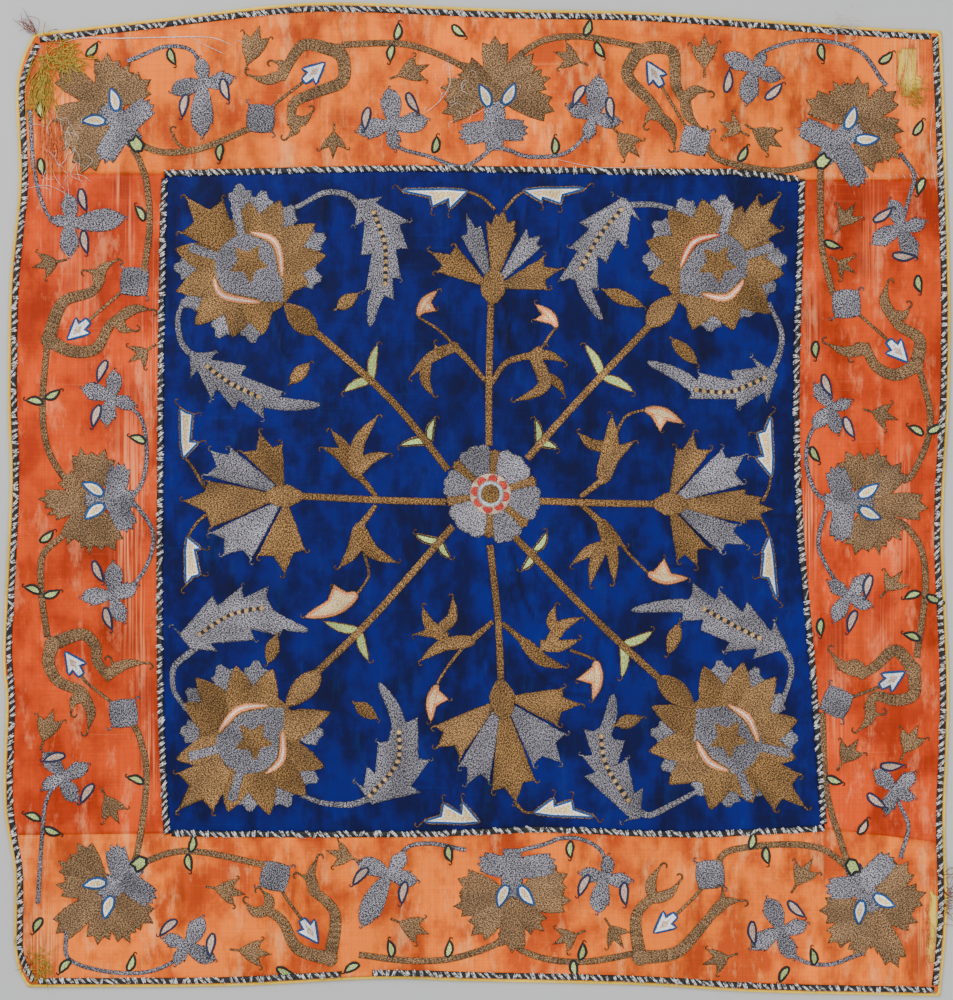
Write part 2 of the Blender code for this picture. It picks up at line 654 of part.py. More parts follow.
def slanted_shapes(name):
    """A stem with its leaf pairs and its blossom."""
    spray = SLANTED[name]
    shapes = band(spray["stem"], STEM_WIDTH, 40.0) + disc(spray["centre"], BLOSSOM_EYE + 22, 20)
    shapes += petals(spray["centre"], spray["axis"], BLOSSOM_PETALS, BLOSSOM_EYE)
    bud = Vector(spray["stem"][2])
    shapes += disc(bud, 11.0)
    for of, base, tips in LEAF_PAIRS:
        if of == name:
            for tip in tips:
                shapes += pointed(base, tip, 9.0, foot=0.6)
    return shapes


def palmette_shapes(name):
    """A palmette with the vines and cloud bands that grow from it."""
    row = PALMETTES[name]
    shapes = disc(row["centre"], PALMETTE_BODY * row["scale"], 14)
    shapes += petals(row["centre"], row["axis"], PALMETTE_LOBES, PALMETTE_BODY, row["scale"])
    for of, route in VINES:
        if of == name:
            shapes += band(route, VINE_WIDTH, 22.0)
    for of, route, forks in CLOUD_BANDS:
        if of == name:
            shapes += band(route, BAND_WIDTH, 17.0)
            shapes += disc(route[-1], BAND_WIDTH / 2, 6) + disc(route[0], BAND_WIDTH / 2, 6)
            for fork in forks:
                shapes += pointed(route[-1], fork, BAND_WIDTH, foot=0.8)
    return shapes


def orchid_shapes(stalk, centre, ends):
    """A silver blossom of four petals on its stalk."""
    shapes = band(stalk + (centre,), 4.0, 22.0) + disc(centre, 7.0, 6)
    for end in ends:
        shapes += pointed(centre, end, 17.0, foot=0.5)
    return shapes


def build_centre_embroidery(finishes):
    rosette = rosette_shapes()
    thread("rosette", rosette, finishes["silver"])
    for name in SPRAYS:
        thread("spray_" + name, spray_shapes(name), finishes["gold"], rosette)
    slanted = {name: slanted_shapes(name) for name in SLANTED}
    for name, shapes in slanted.items():
        thread("spray_" + name, shapes, finishes["gold"], rosette)
        eye = disc(SLANTED[name]["centre"], BLOSSOM_EYE, 16)
        sheet("blossom_eye_" + name, eye, HEART_BOTTOM, HEART_THICK, finishes["silver"])
    for name, stalk, base, tip, bend, width in SERRATED_LEAVES:
        cuts = [shape for spray, shapes in slanted.items() if name.startswith(spray) for shape in shapes]
        thread("leaf_" + name, band(stalk + (base,), 4.0, 14.0) + serrated(base, tip, bend, width), finishes["silver"], cuts)


def build_border_embroidery(finishes):
    cords = [s for side in SEAM_SIDES + inset_sides(LINING_SIDES, CORD_INSET) for s in band(side, CORD_WIDTH, 40.0)]
    palmettes = {name: palmette_shapes(name) for name in PALMETTES}
    for name, shapes in palmettes.items():
        thread("palmette_" + name, shapes, finishes["gold"], cords)
    for name, stalk, centre, ends in ORCHIDS:
        cuts = [shape for shapes in palmettes.values() for shape in shapes]
        thread("orchid_" + name, orchid_shapes(stalk, centre, ends), finishes["silver"], cuts + cords)


def main():
    for old in list(bpy.data.objects):
        bpy.data.objects.remove(old, do_unlink=True)
    metals = ("gold", "silver")
    finishes = {
        name: material(name, colour, 0.6 if name in metals else 0.0, 0.45 if name in metals else 0.5)
        for name, colour in COLOURS.items()
    }
    build_lining(finishes)
    build_centre(finishes)
    build_borders(finishes)
    build_cords(finishes)
    build_centre_embroidery(finishes)
    build_border_embroidery(finishes)


if __name__ == "__main__":
    main()
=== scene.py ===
"""A square wrapping cloth: blue silk in orange silk strips on a yellow lining, with black and silver cord
over the seams and flowers, leaves and vines in couched gold and silver thread.

All tables are in setting-out millimetres, right of and down from the top left corner of the frame that the
cloth is stretched in."""

import math
from collections import namedtuple

import bpy
import numpy as np
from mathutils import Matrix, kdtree
from mathutils.geometry import delaunay_2d_cdt


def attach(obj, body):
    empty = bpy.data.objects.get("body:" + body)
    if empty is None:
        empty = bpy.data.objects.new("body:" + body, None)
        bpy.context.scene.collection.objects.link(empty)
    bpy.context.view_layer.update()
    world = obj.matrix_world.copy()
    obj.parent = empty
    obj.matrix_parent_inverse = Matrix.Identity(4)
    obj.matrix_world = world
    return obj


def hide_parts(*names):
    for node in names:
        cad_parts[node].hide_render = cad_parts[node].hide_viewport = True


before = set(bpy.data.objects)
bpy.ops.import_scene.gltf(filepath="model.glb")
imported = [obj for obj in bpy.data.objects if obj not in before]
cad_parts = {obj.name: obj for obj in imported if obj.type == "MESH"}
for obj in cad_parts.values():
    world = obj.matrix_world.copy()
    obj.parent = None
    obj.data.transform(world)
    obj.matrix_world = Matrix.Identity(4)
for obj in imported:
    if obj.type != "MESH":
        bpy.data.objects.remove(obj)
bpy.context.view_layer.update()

bl_info = {
    "name": "Embroidered wrapping cloth",
    "version": (1, 0, 0),
    "blender": (4, 5, 0),
    "location": "View3D > Sidebar > Wrapping cloth",
    "description": "Builds an embroidered silk wrapping cloth, one layer at a time",
    "category": "Add Mesh",
}

MM = 0.001
BODY = "root"

# Levels above the surface, in millimetres
LINING_TOP = 1.0
SILK_TOP = 2.3
THREAD_FOOT = 2.36
CORD_FOOT = 2.4
EYE_LIFT = 0.55

# The weave's low waves: crest height, wave length, heading, start
WAVES = ((0.55, 330.0, 20.0, 0.3), (0.45, 270.0, 115.0, 1.9), (0.3, 410.0, 70.0, 4.0))
# Puckers and creases of the silk: from, to, width, height (below nought for a trough), darkness of the shade
# painted along its line
CREASES = (
    (503, 288, 506, 318, 4.5, 1.1, 0.9), (506, 318, 513, 346, 4.0, 1.0, 0.9),
    (497, 292, 500, 350, 5.0, -0.8, 0.5), (527, 205, 530, 262, 4.0, 1.0, 0.8),
    (560, 225, 562, 272, 4.0, 0.9, 0.7), (516, 196, 518, 240, 4.0, -0.8, 0.7),
    (476, 312, 478, 380, 5.0, -0.6, 0.5), (503, 172, 504, 205, 3.5, 0.8, 0.6),
    (326, 195, 329, 245, 3.5, 0.8, 0.8), (278, 312, 283, 352, 4.5, 0.9, 0.9),
    (514, 560, 534, 618, 5.0, 1.0, 0.8), (520, 540, 546, 586, 4.0, -0.8, 0.5),
    (520, 652, 560, 690, 5.0, 0.9, 0.7), (560, 690, 598, 700, 5.0, 0.7, 0.6),
    (585, 520, 640, 560, 5.0, 0.8, 0.6), (640, 560, 690, 568, 5.0, 0.7, 0.5),
    (758, 514, 792, 516, 4.0, 0.9, 0.8), (174, 206, 180, 262, 8.0, -0.8, 0.5),
    (640, 176, 642, 240, 5.0, 0.6, 0.4), (388, 172, 392, 220, 6.0, 0.6, 0.3),
    (440, 560, 448, 640, 6.0, 0.6, 0.3), (660, 596, 706, 612, 6.0, 0.5, 0.3),
    (228, 560, 236, 622, 7.0, 0.5, 0.3), (404, 640, 412, 700, 6.0, 0.5, 0.3),
    (206, 40, 230, 66, 6.0, 0.9, 0.4), (236, 36, 244, 80, 5.0, 0.8, 0.4), (330, 110, 360, 140, 9.0, 0.8, 0.2),
    (600, 70, 620, 140, 9.0, 0.8, 0.2), (720, 40, 728, 100, 8.0, 0.8, 0.2),
    (250, 130, 262, 166, 7.0, 0.8, 0.3), (420, 100, 428, 150, 7.0, 0.7, 0.2),
    (860, 210, 864, 280, 7.0, 0.7, 0.3), (100, 250, 104, 330, 8.0, 0.7, 0.3),
    (100, 560, 104, 640, 8.0, 0.7, 0.3), (860, 600, 866, 700, 8.0, 0.7, 0.3),
    (330, 850, 338, 900, 7.0, 0.7, 0.3), (640, 850, 652, 900, 8.0, 0.7, 0.3),
    (180, 880, 186, 940, 7.0, 0.7, 0.3), (740, 880, 748, 950, 8.0, 0.7, 0.3),
)

# The sides are top, right, bottom and left, each from corner to corner: the lining's edges
SIDE_NAMES = ("top", "right", "bottom", "left")
EDGES = (
    ((34, 34), (160, 19), (281, 5), (355, 3), (500, 9), (640, 12), (760, 20), (876, 28), (941, 31)),
    (
        (941, 31), (946, 160), (950, 290), (949, 400), (943, 530), (949, 690), (945, 820), (947, 910),
        (940, 996),
    ),
    ((940, 996), (760, 992), (640, 985), (473, 981), (372, 979), (225, 986), (28, 987)),
    (
        (28, 987), (15, 954), (14, 872), (4, 802), (6, 701), (3, 650), (10, 491), (8, 404), (10, 282),
        (19, 184), (17, 82), (34, 34),
    ),
)
# The seams round the centre panel
SEAMS = (
    ((165, 174), (240, 172), (400, 169), (520, 170), (640, 172), (740, 173), (802, 180)),
    ((802, 180), (799, 270), (796, 400), (799, 510), (806, 600), (814, 690), (821, 790), (824, 828)),
    ((824, 828), (700, 834), (640, 833), (539, 829), (440, 833), (300, 834), (167, 833)),
    ((167, 833), (162, 732), (160, 600), (161, 400), (163, 230), (165, 174)),
)
CLOTH_STEP = 8.0
EDGE_STEP = 42.0
LINING_CELL = 9.0
CENTRE_SHARE = 0.82
STRIP_INSET = 3.0
# The edge roll: how far in, its radius and its middle's height
ROLL = (1.6, 1.7, 1.15)
CORD_INSET = 6.5
CORD_MISSING = (371, 341)

WORN_HOLES = {
    "top": (
        (897, 52), (905, 47), (915, 50), (917, 74), (923, 88), (912, 93), (906, 99), (900, 88), (895, 68),
    ),
    "bottom": ((929, 888), (936, 895), (939, 918), (937, 944), (931, 964), (925, 950), (927, 921)),
}
# Worn and rubbed places of the silk, and places of painted satin highlights, all painted as pale streaks
# along the warp: middle, half widths, strength
WORN_AND_HIGHLIGHT_PLACES = (
    (130, 520, 14, 110, 1.0), (124, 470, 6, 60, 0.8), (141, 620, 8, 70, 0.7), (808, 520, 8, 60, 1.0),
    (903, 520, 9, 70, 0.7), (150, 350, 9, 90, 0.6), (62, 120, 30, 34, 1.0), (48, 170, 16, 30, 0.7),
    (836, 700, 10, 70, 0.5), (150, 760, 8, 50, 0.6), (70, 240, 16, 40, 0.4), (905, 70, 22, 44, 0.9),
    (930, 930, 12, 50, 0.9), (42, 940, 18, 40, 0.8), (872, 240, 12, 60, 0.4), (130, 230, 4, 40, 0.6),
    (118, 188, 3, 24, 0.8), (84, 300, 10, 60, 0.4), (880, 640, 12, 50, 0.4), (812, 330, 7, 60, 0.4),
)

# Rosette in the middle: its heart, and its gold bars as heading and reach
ROSETTE_HEART = (490.4, 494.0)
ROSETTE_BARS = ((-139, 49), (-84, 46), (-17, 49), (41, 49), (92, 45), (170, 46))

# Straight sprays, each with its petals as points and width at the foot, gold and silver in turn; its arrow
# leaves as stalk, far end, near end and teeth from the far end; its curled leaves as stalk, arms (end, bend,
# width, start), stalk of the bud, and bud (foot, tip, tooth)
STRAIGHT = {
    "north": {
        "stem": ((489, 446), (489, 380), (491, 302)), "calyx": (493, 289), "foot": (492, 304), "round": 12.5,
        "hooked": ("gold",),
        "petals": ((((456, 246), (430, 252), (437, 272)), 6), (((461, 237), (466, 213), (481, 226)), 6),
            (((486, 221), (496, 213), (504, 208), (516, 220), (517, 232)), 6), (((527, 228), (541, 235),
            (543, 246)), 5), (((544, 257), (561, 269), (548, 290)), 7)),
        "arrows": ((((495, 210), (484, 199), (474, 194)), (404, 191), (466, 192), ((433, 206), (450, 208))),
            (((505, 210), (514, 199), (520, 194)), (583, 189), (525, 191), ((560, 203), (541, 201)))),
        "branches": ((((486, 382), (466, 358), (454, 347)), (((411, 376), 4, 12), ((433, 395), 5, 11,
            (427, 363)), ((435, 345), -3, 8, (446, 353))), ((452, 344), (440, 331), (418, 317)), ((418, 316),
            (437, 291), (436, 311))), (((490, 387), (506, 363), (534, 355)), (((564, 362), -3, 10),
            ((564, 394), -3, 10, (546, 376)), ((516, 401), -20, 14), ((543, 346), 0, 9)), ((543, 347),
            (548, 338), (557, 327)), ((557, 327), (536, 305), (535, 320)))),
    },
    "west": {
        "stem": ((446, 502), (378, 500), (300, 496)), "calyx": (287, 496), "foot": (303, 496), "round": 11.5,
        "petals": ((((282, 444), (260, 433), (242, 452)), 6), (((231, 448), (211, 451), (206, 475)), 6),
            (((208, 481), (184, 501), (211, 528)), 6), (((210, 533), (224, 555), (251, 560)), 5),
            (((258, 556), (285, 574), (305, 550)), 7)),
        "arrows": ((((205, 488), (197, 474), (190, 463)), (181, 410), (184, 457), ((192, 415), (197, 443))),
            (((211, 512), (200, 520), (192, 530)), (187, 582), (188, 538), ((199, 574), (200, 548)))),
        "branches": ((((378, 499), (368, 486), (356, 473)), (((324, 448), 5, 14), ((332, 431), 3, 13),
            ((377, 417), -8, 14), ((388, 454), -5, 13)), None, None), (((376, 505), (368, 516), (359, 528)),
            (((340, 567), -5, 15), ((396, 562), 8, 15)), ((362, 545), (369, 572), (365, 583), (357, 594)),
            ((357, 594), (305, 617), (334, 585)))),
    },
    "east": {
        "stem": ((539, 501), (600, 503), (656, 504)), "calyx": (668, 504), "foot": (653, 504), "round": 11.5,
        "petals": ((((676, 448), (693, 433), (711, 450)), 6), (((722, 449), (744, 455), (743, 484)), 6),
            (((746, 489), (762, 497), (774, 509), (763, 520), (747, 524)), 7), (((737, 525), (747, 545),
            (721, 553)), 5), (((708, 548), (697, 566), (677, 561)), 7)),
        "arrows": ((((762, 502), (768, 490), (770, 480)), (770, 418), (771, 475), ((758, 434), (757, 458))),
            (((759, 518), (765, 526), (768, 534)), (776, 597), (769, 538), ((762, 576), (763, 552)))),
        "branches": ((((580, 497), (592, 488), (603, 479)), (((579, 434), -4, 12, (607, 447)), ((612, 416),
            3, 18), ((633, 442), -6, 15)), ((616, 434), (626, 416), (645, 410)), ((645, 410), (682, 423),
            (660, 431))), (((580, 504), (592, 514), (602, 524)), (((572, 564), 3, 12, (606, 545)),
            ((590, 584), 3, 13, (606, 541)), ((614, 582), -4, 14), ((624, 546), 2, 14)), ((612, 532),
            (627, 552), (648, 573)), ((648, 574), (687, 578), (664, 559)))),
    },
    "south": {
        "stem": ((490, 545), (498, 620), (501, 684)), "calyx": (502, 697), "foot": (500, 680), "round": 13.0,
        "petals": ((((434, 726), (437, 747), (460, 758)), 6), (((459, 766), (467, 784), (489, 781)), 6),
            (((492, 791), (516, 802), (535, 780)), 7), (((533, 765), (561, 762), (565, 734)), 6),
            (((558, 726), (581, 704), (563, 688)), 7)),
        "arrows": (((), (426, 821), (478, 821), ((444, 804), (463, 803))), (((514, 800), (520, 808),
            (526, 812)), (592, 816), (535, 812), ((571, 801), (553, 799)))),
        "branches": ((((493, 621), (482, 631), (470, 641)), (((416, 634), 3, 10, (448, 638)), ((421, 660),
            6, 14), ((423, 608), -5, 13, (446, 638)), ((453, 598), 8, 12, (436, 632))), ((463, 647),
            (446, 669), (437, 684)), ((437, 685), (431, 721), (448, 699))), (((502, 623), (514, 633),
            (525, 643)), (((564, 667), 5, 14), ((578, 640), 3, 13, (540, 645)), ((580, 618), -5, 13,
            (550, 642)), ((555, 606), -7, 12, (562, 634))), ((570, 650), (594, 659), (596, 664)), ((596, 661),
            (593, 699), (577, 679)))),
    },
}
# Slanted sprays: gold petals, silver petals and big petal of the blossom as points, crescents and star of its
# eye, and pairs of leaves as foot, tips, and whether black lies round the green
BLOSSOMS = {
    "north_west": {
        "stem": ((448, 470), (391, 400), (309, 326)), "centre": (249, 268), "corner": (284, 303),
        "bud": (312, 330), "big": ((223, 200), (186, 197), (181, 233)),
        "gold": ((175, 249), (176, 292), (195, 326), (233, 338), (264, 335), (309, 284), (327, 256),
            (316, 224), (281, 200), (250, 202)),
        "silver": ((239, 184), (264, 191), (294, 206), (326, 236), (322, 279), (174, 268), (183, 306),
            (218, 338), (253, 343), (218, 228)),
        "crescents": (((249, 232), (276, 243), (283, 278)), ((214, 276), (223, 296), (262, 303))),
        "star": (249, 263),
        "leaves": (((430, 442), ((434, 420), (402, 445)), True), ((372, 380), ((377, 346), (345, 391)),
            False)),
    },
    "north_east": {
        "stem": ((527, 459), (579, 400), (655, 320)), "centre": (714, 266), "corner": (679, 294),
        "bud": (651, 322), "big": ((757, 197), (779, 197), (781, 231)),
        "gold": ((742, 206), (702, 199), (668, 210), (645, 241), (649, 278), (692, 330), (733, 331),
            (771, 314), (784, 274), (773, 243)),
        "silver": ((723, 195), (679, 199), (653, 223), (642, 259), (709, 332), (752, 316), (776, 289),
            (787, 259), (768, 238)),
        "crescents": (((679, 270), (693, 243), (719, 235)), ((701, 294), (727, 298), (745, 279))),
        "rim": "rose", "star": (717, 264),
        "leaves": (((538, 444), ((536, 421), (556, 448)), True), ((602, 377), ((586, 346), (632, 391)),
            False)),
    },
    "south_west": {
        "stem": ((453, 526), (372, 618), (316, 673)), "centre": (250, 740), "corner": (285, 707),
        "bud": (316, 676), "big": ((178, 773), (178, 810), (213, 811)),
        "gold": ((331, 712), (325, 767), (307, 796), (270, 815), (228, 812), (176, 759), (183, 703),
            (196, 677), (236, 665), (273, 668)),
        "silver": ((324, 732), (318, 781), (290, 806), (250, 811), (222, 794), (180, 730), (187, 689),
            (219, 665), (257, 660)),
        "crescents": (((218, 733), (239, 709), (270, 705)), ((265, 774), (282, 759), (283, 730))),
        "star": (254, 740),
        "leaves": (((440, 541), ((417, 535), (449, 557)), True), ((360, 630), ((326, 622), (368, 659)),
            False)),
    },
    "south_east": {
        "stem": ((513, 535), (596, 620), (660, 679)), "centre": (728, 740), "corner": (695, 708),
        "bud": (663, 681), "big": ((800, 774), (806, 808), (774, 810)),
        "gold": ((703, 665), (743, 661), (776, 676), (798, 719), (796, 758), (752, 803), (710, 810),
            (668, 784), (648, 751), (651, 706)),
        "silver": ((719, 660), (757, 667), (784, 695), (798, 738), (762, 795), (728, 807), (698, 795),
            (661, 768), (650, 732)),
        "crescents": (((727, 704), (748, 718), (758, 742)), ((696, 740), (708, 761), (729, 771))),
        "star": (728, 738),
        "leaves": (((534, 551), ((546, 534), (523, 569)), True), ((623, 644), ((651, 632), (622, 676)),
            False)),
    },
}
# Serrated leaves: stalk, base, tip, teeth of one side from the base, teeth of the other, midrib, and foot and
# tip of the small gold leaf beside it
SERRATED = {
    "north_west_a": (((302, 205), (326, 193), (349, 196)), (358, 200), (370, 327), ((355, 227), (361, 256),
        (366, 290)), ((383, 197), (411, 222), (408, 249), (401, 279), (394, 301)), ((374, 213), (384, 240),
        (386, 262), (385, 284)), ((334, 311), (361, 292))),
    "north_west_b": (((182, 306), (178, 319), (181, 341), (190, 353)), (190, 353), (321, 405), ((217, 352),
        (248, 366), (283, 392)), ((191, 379), (212, 400), (235, 410), (264, 419)), ((208, 367), (232, 384),
        (259, 397)), ((288, 386), (312, 361))),
    "north_east_a": (((668, 208), (653, 205), (636, 205)), (627, 199), (602, 321), ((613, 195), (579, 223),
        (569, 248), (557, 283)), ((641, 222), (626, 248), (606, 264), (598, 288)), ((621, 210), (598, 238),
        (581, 269)), ((601, 289), (646, 308))),
    "north_east_b": (((771, 309), (781, 332), (779, 354)), (778, 374), (647, 362), ((751, 357), (729, 371),
        (699, 373)), ((767, 404), (737, 409), (688, 399)), ((764, 378), (729, 392), (696, 390)), ((669, 337),
        (699, 366))),
    "south_west_a": (((183, 704), (174, 689), (174, 668), (186, 656)), (190, 648), (309, 631), ((172, 625),
        (213, 595), (242, 586), (270, 585)), ((219, 652), (255, 640), (280, 636)), ((200, 634), (230, 615),
        (262, 608)), ((278, 632), (267, 666))),
    "south_west_b": (((307, 797), (325, 803), (352, 804)), (372, 804), (379, 682), ((354, 780), (367, 765),
        (378, 742)), ((421, 792), (430, 760), (418, 717)), ((370, 795), (397, 763), (399, 732)), ((352, 701),
        (380, 720))),
    "south_east_a": (((784, 696), (791, 673), (788, 656)), (788, 648), (631, 610), ((774, 620), (747, 601),
        (719, 589), (692, 582)), ((752, 659), (723, 652), (700, 630), (682, 621)), ((759, 638), (733, 625),
        (704, 609)), ((680, 620), (667, 657))),
    "south_east_b": (((695, 792), (669, 806), (649, 815)), (640, 818), (613, 693), ((620, 822), (584, 776),
        (581, 755), (583, 728)), ((643, 787), (627, 758), (625, 740)), ((628, 800), (606, 765), (601, 736)),
        ((612, 726), (645, 716))),
}

# Palmettes of the border: middle, foot, bead, gold lobes, silver lobes, eyes, and their vines as routes, with
# hooks (foot, tip), white arrows (point, stalk, silver bud) and cloud bands (ribbon, two forks). Small gold
# palmettes on the stalks are foot and tip; small leaves are right, down, heading, and peach where not green
PALMETTES = {
    "north_west": {
        "centre": (106, 106), "foot": (134, 140), "bead": (137, 145),
        "gold": ((57, 69), (108, 53), (131, 63), (152, 80), (52, 122), (61, 152), (82, 174)),
        "silver": ((153, 102), (102, 163)), "eyes": ((114, 100), (94, 122)),
        "vines": (((145, 147), (169, 153), (204, 148), (245, 131)), ((139, 159), (147, 184), (150, 225),
            (145, 268))),
        "hooks": (((186, 149), (173, 134)),),
        "leaves": ((92, 50, -50), (221, 153, 95), (140, 214, -120)),
    },
    "north_east": {
        "centre": (858, 122), "foot": (826, 157), "bead": (822, 162),
        "gold": ((805, 100), (832, 81), (857, 76), (896, 91), (904, 132), (900, 160), (873, 173)),
        "silver": ((798, 125), (862, 187)), "eyes": ((850, 118), (867, 139)),
        "vines": (((821, 161), (798, 168), (770, 171), (721, 161), (706, 146)), ((821, 166), (820, 200),
            (822, 250), (831, 288))),
        "small": (((740, 132), (718, 121)), ((753, 130), (782, 148)), ((838, 262), (856, 274))),
        "leaves": ((921, 187, 110), (742, 154, -60), (917, 128, -60), (832, 244, 20)),
    },
    "south_west": {
        "centre": (105, 892), "foot": (136, 867), "bead": (140, 863),
        "gold": ((78, 842), (58, 860), (56, 884), (56, 933), (98, 945), (131, 943), (154, 923)),
        "silver": ((114, 843), (156, 901)), "eyes": ((95, 884), (109, 907)),
        "vines": (((145, 862), (173, 852), (204, 852), (262, 864)), ((136, 858), (143, 820), (147, 772),
            (141, 740), (134, 724))),
        "small": (((216, 888), (246, 894)),),
        "leaves": ((136, 780, 200), (39, 925, 120), (192, 843, -80), (190, 862, 80)),
    },
    "south_east": {
        "centre": (873, 908), "foot": (854, 870), "bead": (852, 866),
        "gold": ((908, 861), (926, 892), (918, 922), (898, 967), (877, 955), (853, 959), (827, 943),
            (818, 910)),
        "silver": ((892, 854), (824, 889)), "eyes": ((884, 900), (860, 912)),
        "vines": (((846, 858), (840, 840), (826, 790), (822, 720)), ((846, 866), (820, 848), (780, 844),
            (730, 850), (718, 862))),
        "small": (((842, 762), (858, 738)),),
        "leaves": ((834, 779, 20), (862, 826, -60, "peach"), (751, 840, -80), (767, 855, 80)),
    },
    "north": {
        "centre": (495, 92), "foot": (494, 147),
        "gold": ((495, 36), (459, 62), (440, 88), (442, 114), (534, 54), (551, 78), (555, 112)),
        "silver": ((458, 136), (529, 131)), "eyes": ((484, 96), (509, 94)),
        "vines": (((461, 66), (431, 52), (398, 44), (349, 45)), ((518, 57), (544, 41), (581, 37), (632, 46))),
        "arrows": (((313, 74), ((304, 82), (276, 104)), (261, 119)), ((655, 76), ((662, 88), (686, 128)),
            (695, 141))),
        "bands": ((((338, 52), (307, 45), (294, 56), (281, 80)), ((250, 76), (274, 62))), (((338, 52),
            (344, 62), (342, 82), (316, 93), (294, 104), (292, 126)), ((288, 138), (312, 113))), (((639, 52),
            (632, 61), (628, 78), (652, 104), (663, 122)), ((674, 147), (645, 124))), (((639, 52), (655, 48),
            (673, 54), (676, 87), (688, 104)), ((709, 92), (701, 129)))),
        "leaves": ((397, 32, -80), (392, 54, 100), (459, 31, 40), (587, 28, -70), (600, 50, 60)),
    },
    "west": {
        "centre": (88, 500), "foot": (131, 499),
        "gold": ((81, 447), (106, 449), (60, 471), (38, 499), (47, 515), (67, 545), (90, 555), (116, 551)),
        "silver": ((122, 462), (131, 532)), "eyes": ((93, 489), (95, 512)),
        "vines": (((61, 473), (47, 445), (43, 404), (47, 352)), ((63, 536), (43, 556), (42, 593), (47, 630))),
        "arrows": (((80, 329), ((90, 320), (120, 294)), (135, 282)), ((75, 665), ((86, 681), (112, 702)),
            (124, 713))),
        "bands": ((((49, 340), (57, 314), (67, 300), (92, 292), (102, 278)), ((116, 261), (88, 271))),
            (((49, 340), (71, 351), (96, 349), (110, 326), (124, 315)), ((152, 310), (134, 331))),
            (((53, 644), (82, 634), (96, 646), (98, 662), (112, 679)), ((148, 663), (112, 660))), (((53, 644),
            (49, 662), (59, 681), (82, 691), (88, 701)), ((88, 731), (72, 711)))),
        "leaves": ((35, 402, 190), (53, 394, -30), (47, 536, -40), (33, 590, 200), (52, 593, -20)),
    },
    "east": {
        "centre": (872, 502), "foot": (828, 502),
        "gold": ((845, 451), (877, 447), (901, 462), (928, 508), (901, 541), (879, 555), (854, 555)),
        "silver": ((833, 465), (838, 543)), "eyes": ((868, 490), (870, 513)),
        "vines": (((912, 474), (927, 440), (929, 410), (920, 374)), ((907, 528), (921, 550), (925, 590),
            (917, 650))),
        "arrows": (((896, 350), ((887, 340), (860, 316)), (846, 304)), ((890, 680), ((880, 686), (848, 698)),
            (836, 702))),
        "bands": ((((915, 366), (919, 340), (899, 326), (887, 310)), ((887, 284), (909, 308))), (((915, 366),
            (895, 375), (875, 366), (864, 344)), ((826, 344), (850, 356))), (((913, 670), (895, 650),
            (875, 666), (858, 676)), ((830, 652), (842, 664))), (((913, 670), (913, 694), (895, 700),
            (875, 696), (867, 710)), ((858, 730), (880, 714)))),
        "leaves": ((915, 431, -150), (934, 428, -30), (912, 596, 160), (934, 598, 20), (911, 637, -160)),
    },
    "south": {
        "centre": (512, 900), "foot": (512, 852),
        "gold": ((457, 878), (453, 906), (471, 935), (512, 953), (568, 873), (572, 900), (544, 931)),
        "silver": ((477, 860), (557, 862)), "eyes": ((503, 896), (527, 895)),
        "vines": (((519, 948), (549, 959), (588, 961), (634, 953)), ((497, 943), (452, 958), (408, 960),
            (366, 955))),
        "arrows": (((309, 929), ((302, 919), (286, 897)), (275, 876)), ((666, 922), ((678, 912), (700, 890)),
            (710, 874))),
        "bands": ((((330, 958), (335, 913), (311, 889)), ((317, 858), (300, 874))), (((330, 958), (298, 948),
            (282, 920), (262, 907)), ((246, 903), (262, 890))), (((640, 957), (636, 916), (656, 894)),
            ((660, 866), (680, 880))), (((640, 957), (676, 952), (700, 928), (716, 908)), ((742, 900),
            (722, 890)))),
        "leaves": ((285, 970, 20), (390, 948, -100), (352, 968, 150), (448, 948, -80), (581, 951, -80),
            (575, 968, 80)),
    },
}
BEAD = ((0, 8), (50, 7), (100, 6), (150, 9), (180, 5.5), (215, 9), (260, 6), (310, 7))
VINE_WIDTH = 6.5
